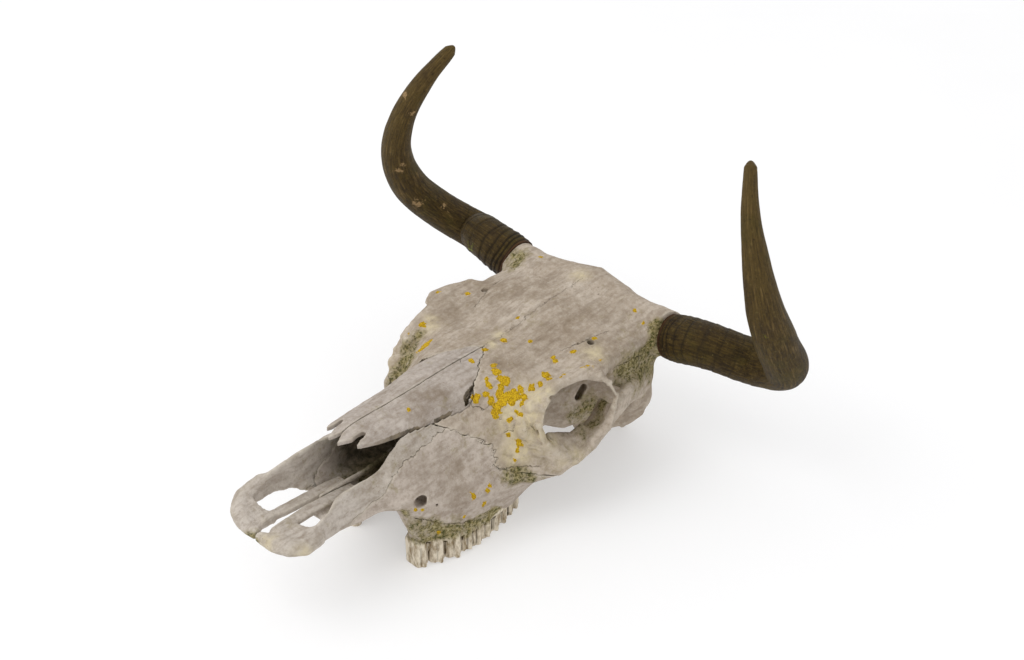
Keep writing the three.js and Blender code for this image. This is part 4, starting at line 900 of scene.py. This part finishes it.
def bone_material(name, pale, dark):
    shade = Shader(name)
    mask, cloud, ramp, times, tint = shade.mask, shade.noise, shade.range, shade.times, shade.tint
    # Bone: broad tones, fine mottling and a grain that runs along the skull.
    mottle = cloud(210, 6, 0.72)
    grain = cloud(60, 5, 0.6, shade.stretched(3.2, 0.7, 2.4))
    shade.colour = shade.mix(ramp(cloud(22, 5, 0.6), 0.36, 0.64), pale, dark)
    tint(ramp(mottle, 0.5, 0.62, 0, 0.34), (0.23, 0.175, 0.12))
    tint(ramp(mottle, 0.48, 0.38, 0, 0.3), (0.62, 0.565, 0.49))
    tint(ramp(grain, 0.46, 0.62, 0, 0.42), (0.22, 0.17, 0.125))
    # Stains and cream patches, pale worn ridges, dirt with painted shade in the hollows, and open pores.
    tint(times(times(mask("stain"), ramp(cloud(70, 7, 0.75), 0.3, 0.62)), 0.62), (0.18, 0.13, 0.08))
    tint(times(times(mask("cream"), ramp(cloud(110, 4, 0.6), 0.3, 0.58)), 0.8), (0.62, 0.53, 0.34))
    tint(ramp(times(mask("hollow_shade_and_ridge_wear"), -1.0), 0.1, 0.7, 0, 0.45), (0.64, 0.585, 0.48))
    # Painted shade: the bone darkens where it lies in a hollow.
    tint(ramp(mask("hollow_shade_and_ridge_wear"), 0.15, 0.8, 0, 0.6), (0.13, 0.10, 0.055))
    pores = shade.node("ShaderNodeTexVoronoi", {"Vector": shade.place, "Scale": 420.0}).outputs["Distance"]
    tint(times(times(ramp(pores, 0.24, 0.1), ramp(cloud(45, 3), 0.46, 0.66)), 0.6), (0.09, 0.065, 0.04))
    # Enamel, streaked down the teeth, with painted shade in the folds.
    enamel = shade.mix(ramp(cloud(1, 5, 0.7, shade.stretched(190, 190, 70)), 0.42, 0.64),
                       (0.72, 0.64, 0.51), (0.27, 0.20, 0.115))
    # Painted shade: the enamel goes nearly black where it lies in a fold.
    enamel = shade.mix(ramp(mask("hollow_shade_and_ridge_wear"), 0.04, 0.35), enamel, (0.05, 0.034, 0.016))
    tint(mask("tooth"), enamel)
    # Moss and algae: an olive film with dark and light dots.
    specks = cloud(330, 5, 0.75)
    patch = cloud(85, 5, 0.7)
    growth = shade.math("ADD", mask("moss"), ramp(patch, 0.3, 0.7, -0.75, 0.25))
    dots = times(ramp(growth, 0.2, 0.7), ramp(specks, 0.51, 0.57))
    tint(ramp(growth, 0.0, 0.8, 0, 0.86), (0.215, 0.172, 0.052))
    tint(times(dots, 0.9), (0.05, 0.055, 0.012))
    tint(times(times(ramp(growth, 0.2, 0.8), ramp(specks, 0.46, 0.38)), 0.5), (0.50, 0.46, 0.28))
    # Dirt with painted shade inside the nose and the orbits.
    murk_and_shade = shade.mix(ramp(patch, 0.42, 0.6), (0.16, 0.12, 0.062), (0.03, 0.022, 0.01))
    tint(times(mask("inside"), 0.78), murk_and_shade)
    # Sutures: thin lines that wander and fade in and out.
    line = shade.math("ABSOLUTE", shade.ragged(mask("across"), cloud(520, 3), 3.4))
    line = times(ramp(line, 0.5, 0.15), mask("shown"), True)
    line = times(line, ramp(cloud(75, 3), 0.36, 0.56, 0.25, 1))
    tint(times(line, 0.92), (0.055, 0.042, 0.02))
    # Yellow lichen with lobed edges.
    crust = shade.ragged(mask("crust"), cloud(430, 4, 0.7), 5.0)
    yellow = shade.mix(ramp(cloud(900, 3, 0.6), 0.4, 0.58), (0.66, 0.44, 0.012), (0.36, 0.20, 0.006))
    tint(ramp(crust, -0.75, -0.45), yellow)
    for height, distance, strength in (
            (cloud(420, 4, 0.65), 0.0006, 0.8), (mottle, 0.0008, 0.5), (grain, 0.0009, 0.6),
            (ramp(line, 0, 1, 1, 0), 0.0012, 0.8), (ramp(crust, -0.1, 0.8), 0.0008, 0.8),
            (dots, 0.0006, 0.6)):
        shade.emboss(height, distance, strength)
    return shade.finished(0.85, 0.2)


def horn_material():
    shade = Shader("horn")
    mask, cloud, ramp, times, tint = shade.mask, shade.noise, shade.range, shade.times, shade.tint
    along = shade.node("ShaderNodeAttribute", attribute_name="grain").outputs["Vector"]
    rise = mask("rise")
    broad = cloud(26, 5, 0.65)
    fibre = cloud(1, 7, 0.78, shade.stretched(11, 11, 1.5, along))
    streaks = cloud(1, 6, 0.75, shade.stretched(7, 7, 1.0, along))
    ripples = cloud(1, 4, 0.6, shade.stretched(0.8, 0.8, 8, along))
    rings = times(ramp(ripples, 0.5, 0.64), ramp(rise, 0.34, 0.2))
    specks = cloud(300, 5, 0.75)
    tatter = cloud(170, 5, 0.75)
    # Dark fibres, paler towards the tip, with olive and reddish areas and lengthwise streaks.
    shade.colour = shade.mix(ramp(fibre, 0.38, 0.6), (0.018, 0.010, 0.002), (0.082, 0.051, 0.010))
    tint(ramp(rise, 0.45, 0.95, 0, 0.6), (0.125, 0.08, 0.022))
    tint(ramp(broad, 0.52, 0.66, 0, 0.5), (0.058, 0.044, 0.006))
    tint(ramp(broad, 0.46, 0.34, 0, 0.6), (0.028, 0.015, 0.006))
    tint(times(ramp(streaks, 0.54, 0.66, 0, 0.55), ramp(rise, 0.12, 0.5, 0.3, 1)), (0.24, 0.155, 0.055))
    tint(ramp(streaks, 0.46, 0.36, 0, 0.6), (0.022, 0.013, 0.005))
    tint(times(rings, 0.35), (0.02, 0.011, 0.004))
    # Tan scars, green growth, light and dark specks, the red rim, and painted shade in the grooves.
    tint(ramp(shade.ragged(mask("scar"), tatter, 3.2), 0.72, 0.86, 0, 0.85), (0.36, 0.235, 0.11))
    tint(ramp(shade.ragged(mask("green"), tatter, -2.4), 0.55, 0.75, 0, 0.9), (0.21, 0.225, 0.01))
    tint(times(ramp(specks, 0.6, 0.68), 0.5), (0.20, 0.15, 0.05))
    tint(times(ramp(specks, 0.42, 0.34), 0.6), (0.012, 0.008, 0.003))
    tint(ramp(rise, 0.016, 0.004, 0, 0.8), (0.075, 0.032, 0.014))
    tint(times(mask("groove"), 0.85), (0.012, 0.008, 0.004))
    for height, distance, strength in (
            (fibre, 0.0014, 0.8), (streaks, 0.0012, 0.5), (rings, 0.0014, 0.5), (specks, 0.0012, 0.9)):
        shade.emboss(height, distance, strength)
    return shade.finished(0.6, 0.16)


def floor_material():
    shade = Shader("floor")
    shade.colour = shade.mix(shade.range(shade.noise(3, 2), 0.4, 0.6), (0.60, 0.60, 0.605),
                             (0.59, 0.59, 0.595))
    shade.put(shade.surface.inputs["Emission Color"], (1, 1, 1))
    shade.put(shade.surface.inputs["Emission Strength"], 0.38)
    return shade.finished(0.7, 0.2)


# The bone is one colour, but facial_bone is made lighter than the others: painted light on the side of the
# face, which lies in shade.
MATERIALS = {
    "cranial_bone": bone_material("cranial_bone", (0.52, 0.445, 0.365), (0.38, 0.31, 0.24)),
    "facial_bone": bone_material("facial_bone", (0.55, 0.48, 0.415), (0.43, 0.365, 0.31)),
    "nasal_bone": bone_material("nasal_bone", (0.51, 0.45, 0.40), (0.39, 0.34, 0.30)),
    "incisive_bone": bone_material("incisive_bone", (0.53, 0.475, 0.42), (0.40, 0.35, 0.295)),
    "horn": horn_material(),
}


def add_piece(node, slot, points, faces, masks, grain=None):
    """Makes the piece of one node, with its masks as point attributes."""
    mesh = bpy.data.meshes.new(node + "_fine")
    corners_each = faces.shape[1]
    mesh.vertices.add(len(points))
    mesh.vertices.foreach_set("co", ((points + SHIFT) / 1000).astype(np.float32).ravel())
    mesh.loops.add(faces.size)
    mesh.loops.foreach_set("vertex_index", faces.astype(np.int32).ravel())
    mesh.polygons.add(len(faces))
    mesh.polygons.foreach_set("loop_start", np.arange(0, faces.size, corners_each, dtype=np.int32))
    mesh.update(calc_edges=True)
    mesh.validate()
    mesh.polygons.foreach_set("use_smooth", np.ones(len(mesh.polygons), bool))
    for name, values in masks.items():
        mesh.attributes.new(name, "FLOAT", "POINT").data.foreach_set("value", values.astype(np.float32))
    if grain is not None:
        mesh.attributes.new("grain", "FLOAT_VECTOR", "POINT").data.foreach_set(
            "vector", grain.astype(np.float32).ravel())
    mesh.materials.append(MATERIALS[slot])
    piece = bpy.data.objects.new(node + "_fine", mesh)
    bpy.context.scene.collection.objects.link(piece)
    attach(piece, "root")
    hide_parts(node)
    return piece


def largest(points, quads):
    """Keeps the largest connected part of a mesh."""
    label = np.arange(len(points))
    while True:
        least = label[quads].min(axis=1)
        new = label.copy()
        for corner in range(4):
            np.minimum.at(new, quads[:, corner], least)
        new = new[new]
        if (new == label).all():
            break
        label = new
    kept = label == np.argmax(np.bincount(label))
    number = np.cumsum(kept) - 1
    return points[kept], number[quads[kept[quads[:, 0]]]]


def bone_piece(node, slot, field, low, high, step=STEP):
    points, quads = largest(*surface(field, low, high, step))
    points = relax(points, quads, 1, 0.35)
    points, masks = dress(points, quads)
    return add_piece(node, slot, points, quads, masks)


bone_piece("cranium", "cranial_bone", cranium, [-138, -70, -6], [138, 250, 178])
for side, name in ((1, "left"), (-1, "right")):
    for bone, slot, field, reach, front, back, bottom, top, step in (
            ("maxilla_", "facial_bone", upper_jaw(side, -1), 124, -186, 66, -6, 162, STEP),
            ("incisive_", "incisive_bone", upper_jaw(side, 1), 58, -264, -30, 66, 170, STEP),
            ("nasal_", "nasal_bone", nasal(side), 46, -156, 62, 126, 170, THIN_STEP)):
        low, high = sorted((-4 * side, reach * side))
        bone_piece(bone + name, slot, field, [low, front, bottom], [high, back, top], step)
bone_piece("vomer", "incisive_bone", vomer, [-8, -175, 70], [8, 4, 110], THIN_STEP)


# ------------------------------------------------------------------ horn sheaths
def centripetal(points, each=60):
    """A centripetal Catmull-Rom curve through the points, densely sampled."""
    p = np.array(points, float)
    p = np.vstack([2 * p[0] - p[1], p, 2 * p[-1] - p[-2]])
    curve = []
    for a, b, c, d in zip(p, p[1:], p[2:], p[3:]):
        k1 = np.linalg.norm(b - a) ** 0.5
        k2 = k1 + np.linalg.norm(c - b) ** 0.5
        k3 = k2 + np.linalg.norm(d - c) ** 0.5
        t = np.linspace(k1, k2, each, endpoint=False)[:, None]
        ab = ((k1 - t) * a + t * b) / k1
        bc = ((k2 - t) * b + (t - k1) * c) / (k2 - k1)
        cd = ((k3 - t) * c + (t - k2) * d) / (k3 - k2)
        abc = ((k2 - t) * ab + t * bc) / k2
        bcd = ((k3 - t) * bc + (t - k1) * cd) / (k3 - k1)
        curve.append(((k2 - t) * abc + (t - k1) * bcd) / (k2 - k1))
    return np.vstack([*curve, p[-2:-1]])


RINGS = 460  # sections along a horn, closer together at the tip
SIDES = 112
# Growth rings: distance from the base, height
GROWTH_RINGS = [(3.5, 1.0), (9.5, 1.3), (15, 1.2), (24, 0.9), (33, 0.8), (46, 0.6), (58, 0.6), (75, 0.5),
    (96, 0.4), (118, 0.3)]
GRAIN = 22  # one unit of the grain's coordinates in millimetres


def horn_piece(node, line, taper, seed):
    curve = centripetal(line)
    lengths = np.concatenate([[0], np.cumsum(np.linalg.norm(np.diff(curve, axis=0), axis=1))])
    total = lengths[-1]
    share = 1 - (1 - np.linspace(0, 1, RINGS)) ** 1.15
    centre = np.stack([np.interp(share * total, lengths, curve[:, axis]) for axis in range(3)], axis=1)
    along = np.gradient(centre, axis=0)
    along /= np.linalg.norm(along, axis=1)[:, None]
    normal = np.zeros_like(centre)
    normal[0] = np.cross(along[0], [0, 0, 1])
    for i in range(1, RINGS):
        normal[i] = normal[i - 1] - (normal[i - 1] @ along[i]) * along[i]
    normal /= np.linalg.norm(normal, axis=1)[:, None]
    other = np.cross(along, normal)
    radius_at = rail(taper)
    radius = np.array([radius_at(s)[1] for s in share])
    radius *= np.sqrt(np.clip((1 - share) * 60, 0, 1))
    angle = np.linspace(0, 2 * math.pi, SIDES, endpoint=False)
    round_ = normal[:, None] * np.cos(angle)[None, :, None] + other[:, None] * np.sin(angle)[None, :, None]
    points = centre[:, None] + round_ * radius[:, None, None]
    run = np.repeat((share * total)[:, None], SIDES, axis=1)
    # Growth rings step down towards the base, with a groove under each, which the material paints dark as
    # shade.
    around = [np.broadcast_to(turn, run.shape).ravel() * GRAIN for turn in (np.cos(angle), np.sin(angle))]
    flat = np.stack([*around, run.ravel()], axis=1)
    wavy = run + noise(flat, 18, seed).reshape(run.shape) * 1.6
    step = np.zeros(run.shape)
    groove = np.zeros(run.shape)
    for edge, tall in GROWTH_RINGS:
        step += tall * np.clip((wavy - edge) / 0.9, 0, 1) * np.exp(-np.clip(wavy - edge, 0, 99) / 5)
        groove += tall * np.exp(-((wavy - edge) / 0.9) ** 2)
    rough = layered(flat * (1, 1, 0.25), 5, 3, seed + 7).reshape(run.shape) * 0.45
    lumps = np.abs(noise(flat * (0.4, 0.4, 1), 9, seed + 9)).reshape(run.shape) * np.clip(1 - run / 190, 0, 1)
    fade = np.clip((1 - share) * 12, 0, 1)[:, None]
    lift = (step * 0.9 - groove * 0.5 + rough + lumps * 0.9 - 0.9) * fade
    points = points + round_ * lift[:, :, None]
    socket_rings = [centre[0] + round_[0] * SOCKET_RADIUS,
                    centre[0] + along[0] * SOCKET_DEPTH + round_[0] * SOCKET_RADIUS]
    points = np.vstack([np.stack(socket_rings[::-1]), points]).reshape(-1, 3)
    index = np.arange((RINGS + 2) * SIDES).reshape(-1, SIDES)
    beside = np.roll(index, -1, axis=1)
    quads = np.stack([index[:-1], beside[:-1], beside[1:], index[1:]], axis=2).reshape(-1, 4)
    socket_rows = np.zeros((2, SIDES))
    grain = np.concatenate([np.zeros((2 * SIDES, 3)), flat]) / GRAIN
    masks = {
        # The groove mask carries painted shade into the ring grooves.
        "groove": np.clip(np.concatenate([socket_rows, groove]).ravel(), 0, 1),
        "rise": np.concatenate([socket_rows, np.repeat(share[:, None], SIDES, axis=1)]).ravel(),
        "scar": blobs(points, HORN_SCARS),
        "green": blobs(points, HORN_GREEN),
    }
    return add_piece(node, "horn", points, quads, masks, grain)


HORN_SCARS = [[-212, 212, 163, 8], [-226, 165, 225, 8], [-221, 185, 176, 9], [-214, 165, 313, 6],
    [-206, 166, 293, 6], [-200, 226, 140, 8], [-186, 206, 356, 10], [188, 205, 356, 10], [200, 190, 340, 7],
    [226, 180, 262, 6], [234, 200, 196, 7]]
HORN_GREEN = [[-151, 201, 142, 10], [235, 180, 217, 9], [220, 221, 149, 8], [-236, 172, 245, 10]]
horn_piece("horn_left", HORN_LEFT, TAPER_LEFT, 200)
horn_piece("horn_right", HORN_RIGHT, TAPER_RIGHT, 300)

# ------------------------------------------------------------------ floor, light and camera
floor_mesh = bpy.data.meshes.new("floor")
floor_mesh.from_pydata([(-6, -6, 0), (6, -6, 0), (6, 6, 0), (-6, 6, 0)], [], [(0, 1, 2, 3)])
floor = bpy.data.objects.new("floor", floor_mesh)
floor.data.materials.append(floor_material())
bpy.context.scene.collection.objects.link(floor)

world = bpy.data.worlds.new("studio")
world.use_nodes = True
world.node_tree.nodes["Background"].inputs["Color"].default_value = (1, 1, 1, 1)
world.node_tree.nodes["Background"].inputs["Strength"].default_value = 0.92
bpy.context.scene.world = world


def softbox(name, place, aim, size, power):
    light = bpy.data.lights.new(name, "AREA")
    light.shape = "SQUARE"
    light.size = size
    light.energy = power
    lamp = bpy.data.objects.new(name, light)
    bpy.context.scene.collection.objects.link(lamp)
    back = np.subtract(place, aim) / np.linalg.norm(np.subtract(place, aim))
    right = np.cross([0, 0, 1], back)
    right /= np.linalg.norm(right)
    up = np.cross(back, right)
    lamp.matrix_world = Matrix([[*row, at] for row, at in zip(np.stack([right, up, back], axis=1), place)]
                               + [[0, 0, 0, 1]])
    return lamp


softbox("key", (-0.6, -1.6, 2.4), (0, 0, 0.1), 1.8, 24)

camera_data = bpy.data.cameras.new("camera")
camera_data.lens = 62.10
camera_data.sensor_width = 36
camera = bpy.data.objects.new("camera", camera_data)
bpy.context.scene.collection.objects.link(camera)
camera.matrix_world = Matrix(((0.7393196, -0.3696927, 0.5627912, 0.977774),
    (0.6733547, 0.4059094, -0.6179247, -0.986687), (0.0, 0.8358019, 0.5490311, 1.107221), (0, 0, 0, 1)))
bpy.context.scene.camera = camera
bpy.context.scene.view_settings.view_transform = "Standard"
